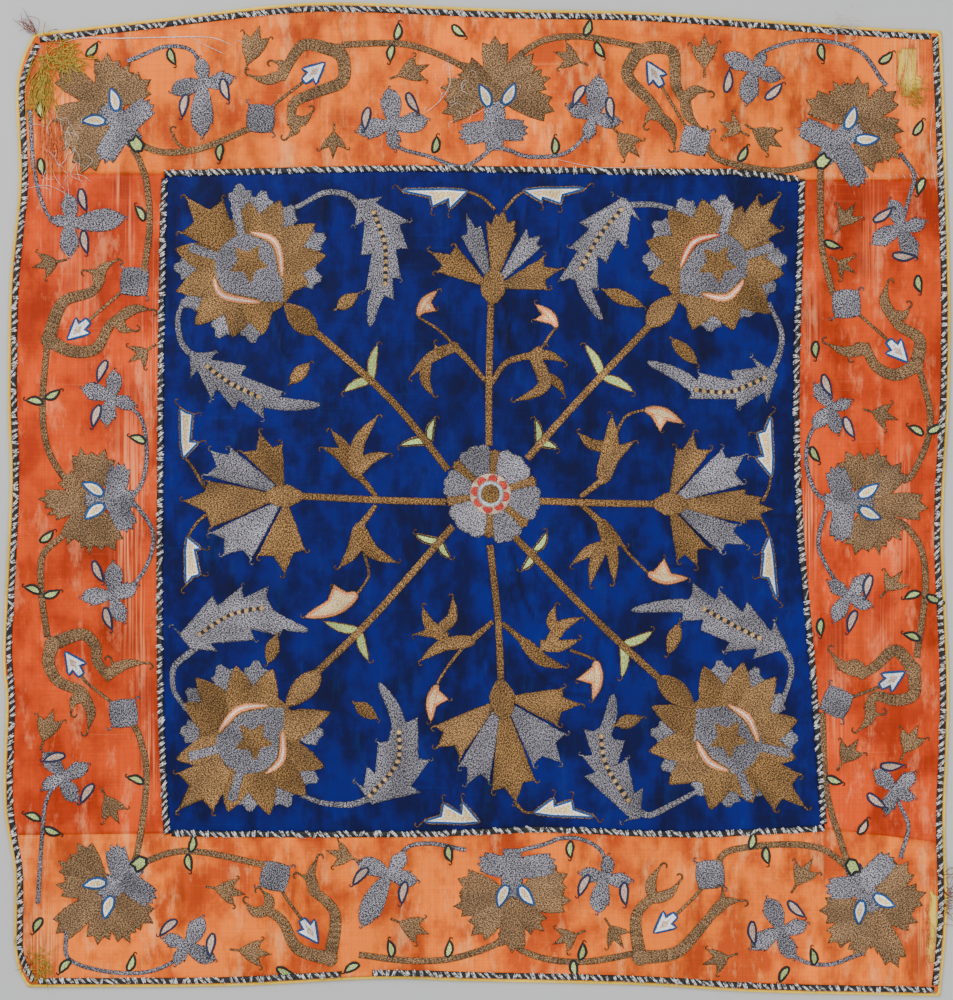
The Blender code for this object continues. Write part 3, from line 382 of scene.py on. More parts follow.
# Silver blossoms: stalk, middle, four petal ends, two drops, and small palmettes and leaves as above
ORCHIDS = {
    "north_west_a": (((135, 59), (167, 47), (194, 53)), (204, 84), ((200, 62), (176, 92), (230, 78),
        (203, 130)), ((185, 106), (226, 90)), (((248, 64), (260, 26)),), ((173, 57, 70),)),
    "north_west_b": (((31, 118), (35, 173), (49, 216)), (71, 223), ((68, 198), (118, 218), (54, 222),
        (71, 252)), ((84, 200), (86, 242)), (((58, 262), (32, 268)),), ((42, 110, 90), (43, 167, 80))),
    "north_a": (((464, 167), (430, 157), (398, 147)), (392, 126), ((389, 94), (362, 132), (423, 120),
        (396, 147)), ((367, 119), (413, 103)), (((399, 76), (430, 65)), ((334, 133), (333, 160))),
        ((435, 145, -80),)),
    "north_b": (((510, 151), (528, 157), (561, 155), (581, 141)), (593, 118), ((597, 82), (570, 108),
        (617, 121), (589, 138)), ((579, 96), (611, 109)), (((579, 62), (553, 52)), ((618, 134), (640, 158))),
        ((554, 146, -90),)),
    "north_east_a": (((881, 80), (856, 50), (804, 41), (760, 54)), (754, 70), ((728, 59), (778, 76),
        (748, 100), (762, 54)), ((727, 82), (773, 92)), (((704, 68), (704, 34)),), ((822, 53, 80),
        (885, 58, -40))),
    "north_east_b": (((904, 160), (914, 176), (908, 200)), (901, 228), ((891, 204), (876, 242), (914, 254),
        (922, 222)), ((882, 215), (903, 256)), (((840, 226), (855, 203)),), ((919, 284, 80),)),
    "west_a": (((143, 481), (147, 450), (140, 416)), (112, 398), ((114, 374), (86, 390), (133, 404),
        (108, 422)), ((103, 371), (97, 416)), (((148, 350), (128, 363)),), ((138, 440, 200),)),
    "west_b": (((152, 528), (151, 556), (136, 582)), (113, 596), ((113, 567), (86, 598), (134, 586),
        (124, 618)), ((99, 571), (109, 618)), (((106, 796), (120, 824)),), ()),
    "east_a": (((814, 490), (806, 462), (810, 434)), (831, 408), ((816, 388), (848, 401), (816, 426),
        (838, 430)), ((827, 385), (849, 427)), (((872, 412), (898, 420)),), ((816, 350, 90), (815, 454, 60))),
    "east_b": (((818, 540), (824, 562), (835, 580)), (848, 596), ((830, 584), (864, 577), (868, 604),
        (836, 618)), ((868, 586), (852, 621)), (((886, 590), (902, 570)),), ((821, 627, 90),)),
    "south_west_a": (((39, 895), (42, 844), (47, 800)), (63, 776), ((46, 756), (85, 765), (76, 798),
        (46, 788)), ((55, 758), (88, 793)), (((44, 740), (54, 708)),), ((33, 817, 200), (53, 830, 20))),
    "south_west_b": (((67, 934), (69, 958), (102, 970), (143, 972), (172, 962)), (187, 945), ((200, 920),
        (166, 939), (212, 957), (178, 962)), ((169, 927), (212, 944)), (((240, 950), (272, 954)),),
        ((66, 966, 130), (131, 962, -70))),
    "south_a": (((458, 848), (430, 843), (406, 848)), (389, 874), ((402, 854), (362, 864), (414, 879),
        (366, 919)), ((361, 876), (404, 892)), (((352, 858), (326, 850)), ((400, 922), (430, 934))),
        ((450, 853, 80),)),
    "south_b": (((544, 844), (560, 838), (582, 839), (602, 852)), (605, 878), ((607, 858), (583, 874),
        (628, 879), (599, 908)), ((584, 885), (625, 893)), (((576, 934), (552, 944)), ((610, 926),
        (624, 948))), ((571, 849, 90),)),
    "south_east_a": (((855, 955), (828, 964), (798, 958)), (780, 930), ((768, 902), (803, 923), (755, 946),
        (792, 954)), ((796, 908), (753, 932)), (((796, 884), (812, 858)), ((728, 956), (702, 964))),
        ((784, 974, 120), (812, 956, -100))),
    "south_east_b": (((902, 850), (908, 826), (900, 806)), (894, 790), ((876, 773), (911, 774), (887, 811),
        (912, 796)), ((891, 765), (876, 800)), (((904, 752), (918, 724)),), ()),
}


# Curves and outlines, in setting-out millimetres

def spot(place):
    """A place, or rows of places, ready to reckon with."""
    return np.asarray(place, float)


def smooth(points, step):
    """A smooth curve through the points, about a step apart."""
    p = spot(points)
    p = np.vstack([p[:1], p, p[-1:]])
    curve = [p[1:2]]
    for before, a, b, after in zip(p, p[1:], p[2:], p[3:]):
        t = np.linspace(0, 1, max(1, round(math.dist(a, b) / step)) + 1)[1:, None]
        curve.append(
            0.5 * (2 * a + (b - before) * t + (2 * before - 5 * a + 4 * b - after) * t**2
                   + (3 * a - before - 3 * b + after) * t**3)
        )
    return np.vstack(curve)


def run_of(curve):
    """How far along a curve each of its points lies."""
    return np.concatenate([[0], np.cumsum(np.hypot(*np.diff(curve, axis=0).T))])


def even(curve, count):
    """The curve told again by evenly spaced points."""
    run = run_of(curve)
    t = np.linspace(0, run[-1], count)
    return np.stack([np.interp(t, run, column) for column in curve.T], 1)


def across(curve):
    """The unit vectors across a curve."""
    ahead = np.gradient(curve, axis=0)
    ahead /= np.hypot(*ahead.T)[:, None] + 1e-9
    return np.stack([-ahead[:, 1], ahead[:, 0]], 1)


def heading_of(a, b):
    return math.degrees(math.atan2(b[1] - a[1], b[0] - a[0]))


def turned(heading, length):
    return np.array([math.cos(math.radians(heading)), math.sin(math.radians(heading))]) * length


def area_of(outline):
    x, y = outline.T
    return float(np.sum(x * np.roll(y, -1) - np.roll(x, -1) * y)) / 2


def grown(outline, margin):
    """The outline pushed out by a margin, or in where it is below nought."""
    outline = spot(outline)
    ahead = np.roll(outline, -1, 0) - np.roll(outline, 1, 0)
    ahead /= np.hypot(*ahead.T)[:, None] + 1e-9
    moved = outline + np.stack([ahead[:, 1], -ahead[:, 0]], 1) * margin * math.copysign(1.0, area_of(outline))
    if margin > -1:
        return moved
    gaps = np.hypot(*(moved[:, None] - outline[None]).transpose(2, 0, 1)).min(1)
    kept = moved[inside(outline, moved) & (gaps > -0.72 * margin)]
    return kept if len(kept) > 3 else outline.mean(0) + (outline - outline.mean(0)) * 0.3


def closed(points, step=2.2):
    """A closed outline with points about a step apart and its corners kept."""
    points = spot(points)
    rows = []
    for a, b in zip(points, np.roll(points, -1, 0)):
        count = max(1, round(math.dist(a, b) / step))
        rows.append(a + (b - a) * (np.arange(count) / count)[:, None])
    return np.vstack(rows)


def inside(outline, points):
    """Which of the points lie inside an outline."""
    hit = np.zeros(len(points), bool)
    x, y = points.T
    for (ax, ay), (bx, by) in zip(outline, np.roll(outline, -1, 0)):
        if ay != by:
            hit ^= ((ay > y) != (by > y)) & (x < (bx - ax) * (y - ay) / (by - ay) + ax)
    return hit


def axes(heading):
    """The unit vectors along a heading and across it."""
    return turned(heading, 1.0), turned(heading + 90, 1.0)


# Forms: one finish laid in parts, each part an outline with the heading of its threads

Part = namedtuple("Part", "outline heading along", defaults=(0.0,))
Form = namedtuple("Form", "finish parts apart", defaults=(True,))


def one_part(look, outline, heading=0.0, apart=True):
    return Form(look, [Part(outline, heading)], apart)


def round_form(look, centre, radius, heading=0.0, corners=None):
    angles = np.linspace(0, 2 * math.pi, corners or max(8, round(radius * 2.2)), endpoint=False)
    outline = spot(centre) + radius * np.stack([np.cos(angles), np.sin(angles)], 1)
    return one_part(look, outline, heading)


def sweep(route, width, foot=0.35, belly=0.45, sharp=1.0):
    """The outline of a petal or arm along a route: it swells from its foot and ends in a point."""
    spine = smooth(route, 2.6)
    t = np.linspace(0, 1, len(spine))
    rise = foot + (1 - foot) * np.sin(np.clip(t / belly, 0, 1) * math.pi / 2)
    fall = np.cos(np.clip((t - belly) / (1 - belly), 0, 1) * math.pi / 2) ** sharp
    half = (width / 2 * np.where(t < belly, rise, fall))[:, None]
    side = across(spine)
    return np.vstack([spine - side * half, (spine + side * half)[::-1][1:]])


def bent(base, tip, bend):
    """A route from base to tip that bows out to one side."""
    base, tip = spot(base), spot(tip)
    ahead = tip - base
    side = np.array([-ahead[1], ahead[0]]) / (np.hypot(*ahead) + 1e-9)
    return [base, (base + tip) / 2 + side * bend, tip]


def ribbon(route, width, end=None, step=4.5):
    """Parts of a band along a route, of even width or narrowing to its end."""
    curve = smooth(route, step)
    half = np.linspace(width, width if end is None else end, len(curve))[:, None] / 2
    side = across(curve)
    left, right = curve - side * half, curve + side * half
    parts, run = [], 0.0
    for i, (a, b) in enumerate(zip(curve, curve[1:])):
        length = math.dist(a, b)
        if length > 0.2:
            heading = heading_of(a, b)
            quad = np.array([left[i], left[i + 1], right[i + 1], right[i]])
            parts.append(Part(quad, heading, run - float(a @ turned(heading, 1.0))))
        run += length
    return parts


def curl(tip, heading, size=3.0, way=1, width=2.2, stalk=2.5):
    """Parts of the small hook in which a point ends."""
    route, place = [spot(tip) - turned(heading, stalk)], spot(tip)
    for turn in (0, 45, 100, 160, 215):
        route.append(place.copy())
        place = place + turned(heading + way * turn, size * 0.7)
    return ribbon(route, width, width * 0.6, 1.8)


def toothed(foot, tips, foot_width, notch=6.0, bulge=0.08):
    """The outline of a petal that widens from its foot to a row of points."""
    foot = spot(foot)
    tips = [spot(t) for t in tips]
    middle = sum(tips) / len(tips)
    ahead = (middle - foot) / (np.hypot(*(middle - foot)) + 1e-9)
    side = np.array([-ahead[1], ahead[0]])
    way = 1.0 if (tips[0] - tips[-1]) @ side > 0 else -1.0
    start, end = foot + side * way * foot_width / 2, foot - side * way * foot_width / 2

    def bowed(a, b, out):
        over = out * math.dist(a, b) * bulge
        return [a, a + (b - a) * 0.35 + over, a + (b - a) * 0.7 + over]

    points = bowed(start, tips[0], side * way)
    for a, b in zip(tips, tips[1:]):
        between = (a + b) / 2
        inward = (foot - between) / (np.hypot(*(foot - between)) + 1e-9)
        points += [a, between + inward * min(notch, 0.45 * math.dist(a, b) + 1.5)]
    points += [tips[-1]] + bowed(end, tips[-1], -side * way)[::-1]
    return closed(points)


def with_curls(form, tips, centre, size=2.6, width=2.0):
    """The form with a hook on each of its points, turned to either side in turn."""
    parts = list(form.parts)
    for i, tip in enumerate(tips):
        parts += curl(tip, heading_of(centre, tip), size, 1 if i % 2 else -1, width)
    return form._replace(parts=parts)


def layered(outline, heading, layers):
    """Nested forms over one outline: each layer is a finish and how far it reaches past the outline."""
    return [
        one_part(look, grown(outline, reach), heading, i == 0)
        for i, (look, reach) in enumerate(layers)
    ]


def hooked(forms, hooks):
    """The forms with hooks on the undermost one."""
    return [forms[0]._replace(parts=forms[0].parts + hooks), *forms[1:]]


def petal(base, tip, width, foot, belly, sharp):
    """The part of a plain petal."""
    return Part(sweep(bent(base, tip, 0.0), width, foot, belly, sharp), heading_of(base, tip))


# The cloth's fall

def fall(x, y):
    """How high the silk stands above its lowest place, in millimetres."""
    x, y = spot(x), spot(y)
    height = np.full(x.shape, sum(w[0] for w in WAVES))
    for crest, length, heading, start in WAVES:
        along = x * math.cos(math.radians(heading)) + y * math.sin(math.radians(heading))
        height += crest * np.sin(2 * math.pi * along / length + start)
    height /= 2
    for x0, y0, x1, y1, width, rise, _ in CREASES:
        height += rise * crease_at(x, y, x0, y0, x1, y1, width)
    return height


def crease_at(x, y, x0, y0, x1, y1, width):
    """From 0 to 1, how near a place is to the middle of a crease."""
    dx, dy = x1 - x0, y1 - y0
    length = math.hypot(dx, dy)
    t = np.clip(((x - x0) * dx + (y - y0) * dy) / length**2, -0.3, 1.3)
    wander = 2.0 * np.sin(t * 5.0 + x0)
    off = ((x - x0) * -dy + (y - y0) * dx) / length - wander
    beyond = np.clip(np.abs(t - 0.5) - 0.35, 0, None) / 0.35
    return np.exp(-((off / (width / 2)) ** 2)) * np.exp(-3.0 * beyond**2) * (np.abs(t - 0.5) < 0.79)


def smooth_sides(sides):
    return [smooth(side, CLOTH_STEP) for side in sides]


LINING_SIDES = [smooth(side, EDGE_STEP) for side in EDGES]
MIDDLE = (np.vstack(LINING_SIDES).min(0) + np.vstack(LINING_SIDES).max(0)) / 2


def placed(x, y, z):
    """World places in metres of setting-out places in millimetres."""
    return np.stack([(x - MIDDLE[0]) * MM, (MIDDLE[1] - y) * MM, z * MM], -1)


def inset_sides(sides, distance):
    """Four sides, corner to corner, each moved in by a distance."""
    ways = np.array(((0, 1), (-1, 0), (0, -1), (1, 0)), float)
    moved = [side + way * distance for side, way in zip(sides, ways)]
    for i in range(4):
        after = (i + 1) % 4
        corner = sides[i][-1] + (ways[i] + ways[after]) * distance
        moved[i][-1] = corner
        moved[after][0] = corner
    return moved


# Materials

def new_material(name, roughness, metallic=0.0, specular=0.3, sheen=0.0):
    """A material, its tree and shader, and the place on the piece; what is the same all over is set here."""
    made = bpy.data.materials.new(name)
    made.use_nodes = True
    tree = made.node_tree
    shader = tree.nodes["Principled BSDF"]
    for socket, value in (
        ("Roughness", roughness), ("Metallic", metallic), ("Specular IOR Level", specular),
        ("Sheen Weight", sheen), ("Sheen Roughness", 0.5),
    ):
        shader.inputs[socket].default_value = value
    return made, tree, shader, node(tree, "ShaderNodeTexCoord").outputs["Object"]


def node(tree, kind, inputs=(), **settings):
    """A node with its settings, and its inputs set or linked."""
    made = tree.nodes.new(kind)
    for key, value in settings.items():
        setattr(made, key, value)
    for socket, value in dict(inputs).items():
        if hasattr(value, "is_output"):
            tree.links.new(value, made.inputs[socket])
        else:
            made.inputs[socket].default_value = value
    return made


def noise(tree, vector, stretch, scale, detail=2.0, rough=0.5):
    """Noise over a vector stretched along its axes."""
    mapped = node(tree, "ShaderNodeMapping", {"Vector": vector, "Scale": (*stretch, 1.0)})
    return node(
        tree, "ShaderNodeTexNoise",
        {"Vector": mapped.outputs[0], "Scale": scale, "Detail": detail, "Roughness": rough},
    ).outputs["Fac"]


def ramp(tree, fac, stops):
    """A colour ramp over stops of place and colour or grey."""
    made = node(tree, "ShaderNodeValToRGB", {"Fac": fac})
    row = made.color_ramp.elements
    while len(row) < len(stops):
        row.new(0.5)
    for element, (place, colour) in zip(row, stops):
        element.position = place
        element.color = (*colour, 1.0) if hasattr(colour, "__len__") else (colour, colour, colour, 1.0)
    return made.outputs["Color"]


def mixed(tree, fac, a, b, blend="MIX"):
    """Two colours or greys mixed by a share, or the second laid over the first."""
    made = node(tree, "ShaderNodeMix", data_type="RGBA", blend_type=blend)
    for socket, value in ((made.inputs["Factor"], fac), (made.inputs[6], a), (made.inputs[7], b)):
        if hasattr(value, "is_output"):
            tree.links.new(value, socket)
        else:
            socket.default_value = (*value, 1.0) if hasattr(value, "__len__") else value
    return made.outputs[2]


def bumped(tree, shader, height, distance, strength=1.0, under=None):
    """Fine relief on the shader, over a coarser relief where one is told as height and distance."""
    bump = node(tree, "ShaderNodeBump", {"Height": height, "Distance": distance, "Strength": strength})
    if under:
        low = node(tree, "ShaderNodeBump", {"Height": under[0], "Distance": under[1], "Strength": 0.5})
        tree.links.new(low.outputs[0], bump.inputs["Normal"])
    tree.links.new(bump.outputs[0], shader.inputs["Normal"])


def attribute(tree, name):
    return node(tree, "ShaderNodeAttribute", attribute_name=name).outputs["Fac"]


def shade(colour, by):
    return tuple(min(1.0, max(0.0, c * by)) for c in colour)


def times(tree, a, b):
    """Two colours or greys multiplied."""
    return mixed(tree, 1.0, a, b, "MULTIPLY")


def thread_material(name, colour, dark, light, metallic, roughness, contrast=1.0):
    """Couched thread: rows of turns along the thread with painted glints and painted shade between them, a
    painted glint that differs from part to part, and a rim darkened as painted shade and as a dark outline
    thread.
    """
    made, tree, shader, place = new_material(name, roughness, metallic, 0.35)
    run = node(tree, "ShaderNodeUVMap", uv_map="thread").outputs[0]
    turns = noise(tree, run, (640.0, 1150.0), 1.0, 1.5, 0.6)
    half = 0.10 / contrast
    # The turns: their light end is a painted glint, their dark end painted shade between them
    body = ramp(tree, turns, (
        (0.5 - half, dark), (0.5 - half * 0.4, shade(colour, 0.62)), (0.5 + half * 0.2, shade(colour, 1.15)),
        (0.5 + half, shade(light, 1.4)),
    ))
    cloud, painted_glint = noise(tree, place, (1.0, 1.0), 45.0, 3.0), noise(tree, run, (9.0, 30.0), 1.0, 1.0)
    tinted = times(tree, body, ramp(tree, cloud, ((0.3, 0.80), (0.7, 1.16))))
    # Painted glint: the thread made lighter or darker from part to part, as if its turns caught the light
    tinted = times(tree, tinted, ramp(tree, painted_glint, ((0.35, 0.78), (0.65, 1.26))))
    # Painted shade at the rims, in the grooves between parts and round the edge, together with a dark outline
    # thread there
    rim = ramp(tree, attribute(tree, "rim"), ((0.0, 0.0), (0.7, 1.0)))
    rim_shade = mixed(tree, 0.6, tinted, shade(dark, 0.6))
    tree.links.new(mixed(tree, rim, rim_shade, tinted), shader.inputs["Base Color"])
    threads = node(tree, "ShaderNodeMapping", {"Vector": run, "Scale": (25.0, 560.0, 1.0)}).outputs[0]
    rows = node(
        tree, "ShaderNodeTexWave", {"Vector": threads, "Scale": 1.0, "Distortion": 1.5, "Detail": 1.0},
        bands_direction="Y",
    ).outputs["Fac"]
    bumped(tree, shader, mixed(tree, 0.5, rows, turns), 0.0004, 0.8)
    return made


def silk_material(name, colour, deep, pale_and_highlight, sheen, blotch_and_fold_shade=0.5, pool=16.0, shine=0.3):
    """Plain-woven silk: fine warp and weft lines, deeper blotches, painted fold shadows, painted shine, pale
    streaks along the warp that are partly wear and partly painted satin highlights, and painted shade in the
    creases.
    """
    made, tree, shader, place = new_material(name, 0.62, 0.0, 0.14, sheen)
    shader.inputs["Sheen Tint"].default_value = (*pale_and_highlight, 1.0)
    warp = noise(tree, place, (620.0, 9.0), 1.0, 3.0)
    body = colour
    for stretch, scale, detail, rough, stops, over in (
        # Blotches of deeper colour; the deep colour is also the base of the painted fold and crease shade
        ((1.0, 0.8), pool, 5.0, 0.62, ((0.40, blotch_and_fold_shade), (0.57, 0.0)), deep),
        # Painted fold shadows: soft streaks darkened past the deep colour
        ((21.0, 9.0), 1.0, 5.0, 0.64, ((0.36, blotch_and_fold_shade), (0.5, 0.0)), shade(deep, 0.8)),
        # Painted shine: pale patches of satin highlight
        ((44.0, 13.0), 1.0, 5.0, 0.72, ((0.54, 0.0), (0.66, shine)), pale_and_highlight),
        ((9.0, 300.0), 1.0, 2.0, 0.5, ((0.66, 0.0), (0.76, 0.14)), pale_and_highlight),
    ):
        share = ramp(tree, noise(tree, place, stretch, scale, detail, rough), stops)
        body = mixed(tree, share, body, over)
    for lines, stops in (
        (warp, ((0.25, 0.89), (0.75, 1.11))),
        (noise(tree, place, (20.0, 620.0), 1.0, 2.0), ((0.25, 0.92), (0.75, 1.08))),
        (noise(tree, place, (1.0, 1.0), 4.0, 2.0), ((0.3, 0.82), (0.7, 1.14))),
    ):
        body = times(tree, body, ramp(tree, lines, stops))
    # Pale streaks along the warp where the worn attribute is high: partly worn silk, partly painted satin
    # highlights
    streaks = ramp(tree, noise(tree, place, (420.0, 7.0), 1.0, 2.0, 0.6), ((0.46, 0.0), (0.6, 1.0)))
    body = mixed(tree, times(tree, streaks, attribute(tree, "worn")), body, pale_and_highlight)
    # Painted shade in the creases: the colour darkened almost to black where the crease attribute is high
    crease_shaded = mixed(tree, attribute(tree, "crease"), body, shade(deep, 0.25))
    tree.links.new(crease_shaded, shader.inputs["Base Color"])
    weave = (noise(tree, place, stretch, 1.0, 1.0) for stretch in ((1500.0, 60.0), (60.0, 1500.0)))
    ripple = noise(tree, place, (1.0, 0.7), 42.0, 3.0, 0.55)
    bumped(tree, shader, mixed(tree, 0.3, mixed(tree, 0.5, *weave), warp), 0.0003, 0.6, (ripple, 0.0035))
    return made


def flecked_material(name, colour, contrast):
    """Loose thread and cord: one colour with light and dark flecks."""
    made, tree, shader, place = new_material(name, 0.6)
    flecks = noise(tree, place, (1.0, 1.0), 430.0, 2.0, 0.6)
    dark, light = shade(colour, 1 - contrast), shade(colour, 1 + contrast * 0.6)
    tree.links.new(ramp(tree, flecks, ((0.42, dark), (0.57, light))), shader.inputs["Base Color"])
    return made


FINISHES = {}

# Looks of the finishes. A silk's: sheen, share of blotches and of painted fold shadows, the blotches' scale,
# share of painted shine
SILKS = {
    "blue_silk": (0.004, 0.85, 24.0, 0.16), "orange_silk": (0.03, 0.90, 18.0, 0.5),
    "red_silk": (0.03, 0.85, 15.0, 0.45), "lining_silk": (0.03, 0.3, 20.0, 0.2),
}

# A metal thread's: metallic share, roughness, contrast of the painted glints and shade of its turns
METALS = {"gold": (0.42, 0.40, 1.2), "dull_gold": (0.30, 0.5, 1.2), "silver": (0.42, 0.38, 2.0)}

# Contrast of the flecks of cord and loose thread
FLECKED = {
    "cord_black": 0.7, "cord_silver": 0.8, "fringe_red": 0.4, "tuft_yellow": 0.4, "white_thread": 0.3,
    "orange_thread": 0.4,
}


def finish(name):
    """The material of a finish, made when it is first asked for."""
    if name in FINISHES:
        return FINISHES[name]
    colours = bpy.context.scene.wrapping_colours
    colour = tuple(getattr(colours, name))
    if name in SILKS or name in METALS:
        ends = [tuple(getattr(colours, name + ending)) for ending in ("_dark", "_light")]
    if name in SILKS:
        made = silk_material(name, colour, *ends, *SILKS[name])
    elif name in METALS:
        made = thread_material(name, colour, *ends, *METALS[name])
    elif name in FLECKED:
        made = flecked_material(name, colour, FLECKED[name])
    else:
        # Silk threads: dark and light reckoned from the colour, for the painted shade and glints of their
        # turns and the painted shade at their rims
        made = thread_material(name, colour, shade(colour, 0.45), shade(colour, 1.35), 0.0, 0.6, 0.8)
    FINISHES[name] = made
    return made


# Pieces

def settle(obj, stands_for):
    """Puts a finished piece on its body, in place of the solids that it stands for."""
    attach(obj, BODY)
    if stands_for:
        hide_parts(*stands_for)
    return obj


def only(obj):
    """Selects one object alone and makes it the active one."""
    bpy.ops.object.select_all(action="DESELECT")
    obj.select_set(True)
    bpy.context.view_layer.objects.active = obj


def read(items, name, width=1, kind=float):
    """One property of all the items, as an array."""
    values = np.empty(len(items) * width, kind)
    items.foreach_get(name, values)
    return values if width == 1 else values.reshape(-1, width)


def mesh_object(name, points, faces, finishes, indices=None):
    """A smooth-shaded mesh piece of setting-out places, with the finish of each face."""
    mesh = bpy.data.meshes.new(name)
    mesh.from_pydata([tuple(p) for p in placed(*np.array(points).T)], [], [tuple(f) for f in faces])
    for each in finishes:
        mesh.materials.append(finish(each))
    if indices is not None:
        mesh.polygons.foreach_set("material_index", np.asarray(indices, np.int32))
    mesh.polygons.foreach_set("use_smooth", np.full(len(faces), True))
    mesh.update()
    obj = bpy.data.objects.new(name, mesh)
    bpy.context.collection.objects.link(obj)
    return obj


def float_attribute(mesh, name, values):
    made = mesh.attributes.new(name, "FLOAT", "POINT")
    made.data.foreach_set("value", np.asarray(values, np.float32))


def add_uv(layer, x, y):
    """Writes a UV layer from millimetres at each corner."""
    layer.data.foreach_set("uv", (np.stack([x, y], 1) * MM).astype(np.float32).ravel())


def patch_of(top, right, bottom, left, u, v):
    """Places on a four-sided patch, with u along the top from its left end and v down its left side."""
    top, bottom = even(top, len(u)), even(bottom[::-1], len(u))
    right, left = even(right, len(v)), even(left[::-1], len(v))
    uu, vv = (share[..., None] for share in np.meshgrid(u, v))
    ruled = (1 - vv) * top[None] + vv * bottom[None] + (1 - uu) * left[:, None] + uu * right[:, None]
    shares = ((1 - uu) * (1 - vv), uu * (1 - vv), (1 - uu) * vv, uu * vv)
    return ruled - sum(share * end for share, end in zip(shares, (top[0], top[-1], bottom[0], bottom[-1])))


def silk_sheet(name, sides, cell, thick, look, stands_for, hem=0.0, holes=()):
    """A cloth over four sides: a grid shaped to them and given its thickness. With a hem it lies in waves."""
    top, _, _, left = sides
    wide, tall = run_of(top)[-1], run_of(left)[-1]
    columns, rows = max(4, round(wide / cell)), max(4, round(tall / cell))
    bpy.ops.object.select_all(action="DESELECT")
    bpy.ops.mesh.primitive_grid_add(x_subdivisions=columns, y_subdivisions=rows, size=1.0)
    obj = bpy.context.object
    obj.name = obj.data.name = name
    mesh = obj.data
    flat = read(mesh.vertices, "co", 3)
    column = np.round((flat[:, 0] + 0.5) * columns).astype(int)
    row = np.round((0.5 - flat[:, 1]) * rows).astype(int)
    x, y = patch_of(*sides, np.linspace(0, 1, columns + 1), np.linspace(0, 1, rows + 1))[row, column].T
    near = np.minimum(
        np.minimum(column, columns - column) * wide / columns, np.minimum(row, rows - row) * tall / rows,
    )
    z = (SILK_TOP + fall(x, y) if hem else LINING_TOP) - hem * np.exp(-near / 2.5)
    mesh.vertices.foreach_set("co", placed(x, y, z).astype(np.float32).ravel())
    layer = mesh.uv_layers[0] if mesh.uv_layers else mesh.uv_layers.new(name="weave")
    layer.name = "weave"
    loops = read(mesh.loops, "vertex_index", kind=np.int32)
    add_uv(layer, x[loops], -y[loops])
    worn = dark = np.zeros(len(x))
    # Where pale streaks are painted: worn places of the silk, and places of painted satin highlights
    for px, py, rx, ry, strength in WORN_AND_HIGHLIGHT_PLACES:
        worn = np.maximum(worn, strength * np.exp(-(((x - px) / rx) ** 2 + ((y - py) / ry) ** 2) * 1.3))
    # Painted shade along the creases, set a little to one side of each crease's middle
    for x0, y0, x1, y1, width, _, depth in CREASES:
        dark = np.maximum(dark, depth * crease_at(x + 1.2, y, x0, y0, x1, y1, width * 0.9))
    float_attribute(mesh, "worn", worn)
    float_attribute(mesh, "crease", dark)
    mesh.materials.clear()
    mesh.materials.append(finish(look))
    if holes:
        cut_holes(obj, holes)
    only(obj)
    bpy.ops.object.shade_smooth()
    solid = obj.modifiers.new("thickness", "SOLIDIFY")
    solid.thickness = thick * MM
    solid.offset = -1.0
    bpy.ops.object.modifier_apply(modifier=solid.name)
    settle(obj, [stands_for])


def cut_holes(obj, holes):
    """Takes out the faces whose middles lie in a hole's outline."""
    only(obj)
    centres = np.array([p.center[:2] for p in obj.data.polygons])
    places = np.stack([centres[:, 0] / MM + MIDDLE[0], MIDDLE[1] - centres[:, 1] / MM], 1)
    gone = np.zeros(len(places), bool)
    for hole in holes:
        gone |= inside(spot(hole), places)
    bpy.ops.object.mode_set(mode="EDIT")
    bpy.ops.mesh.select_mode(type="FACE")
    bpy.ops.mesh.select_all(action="DESELECT")
    bpy.ops.object.mode_set(mode="OBJECT")
    obj.data.polygons.foreach_set("select", gone)
    bpy.ops.object.mode_set(mode="EDIT")
    bpy.ops.mesh.delete(type="FACE")
    bpy.ops.object.mode_set(mode="OBJECT")


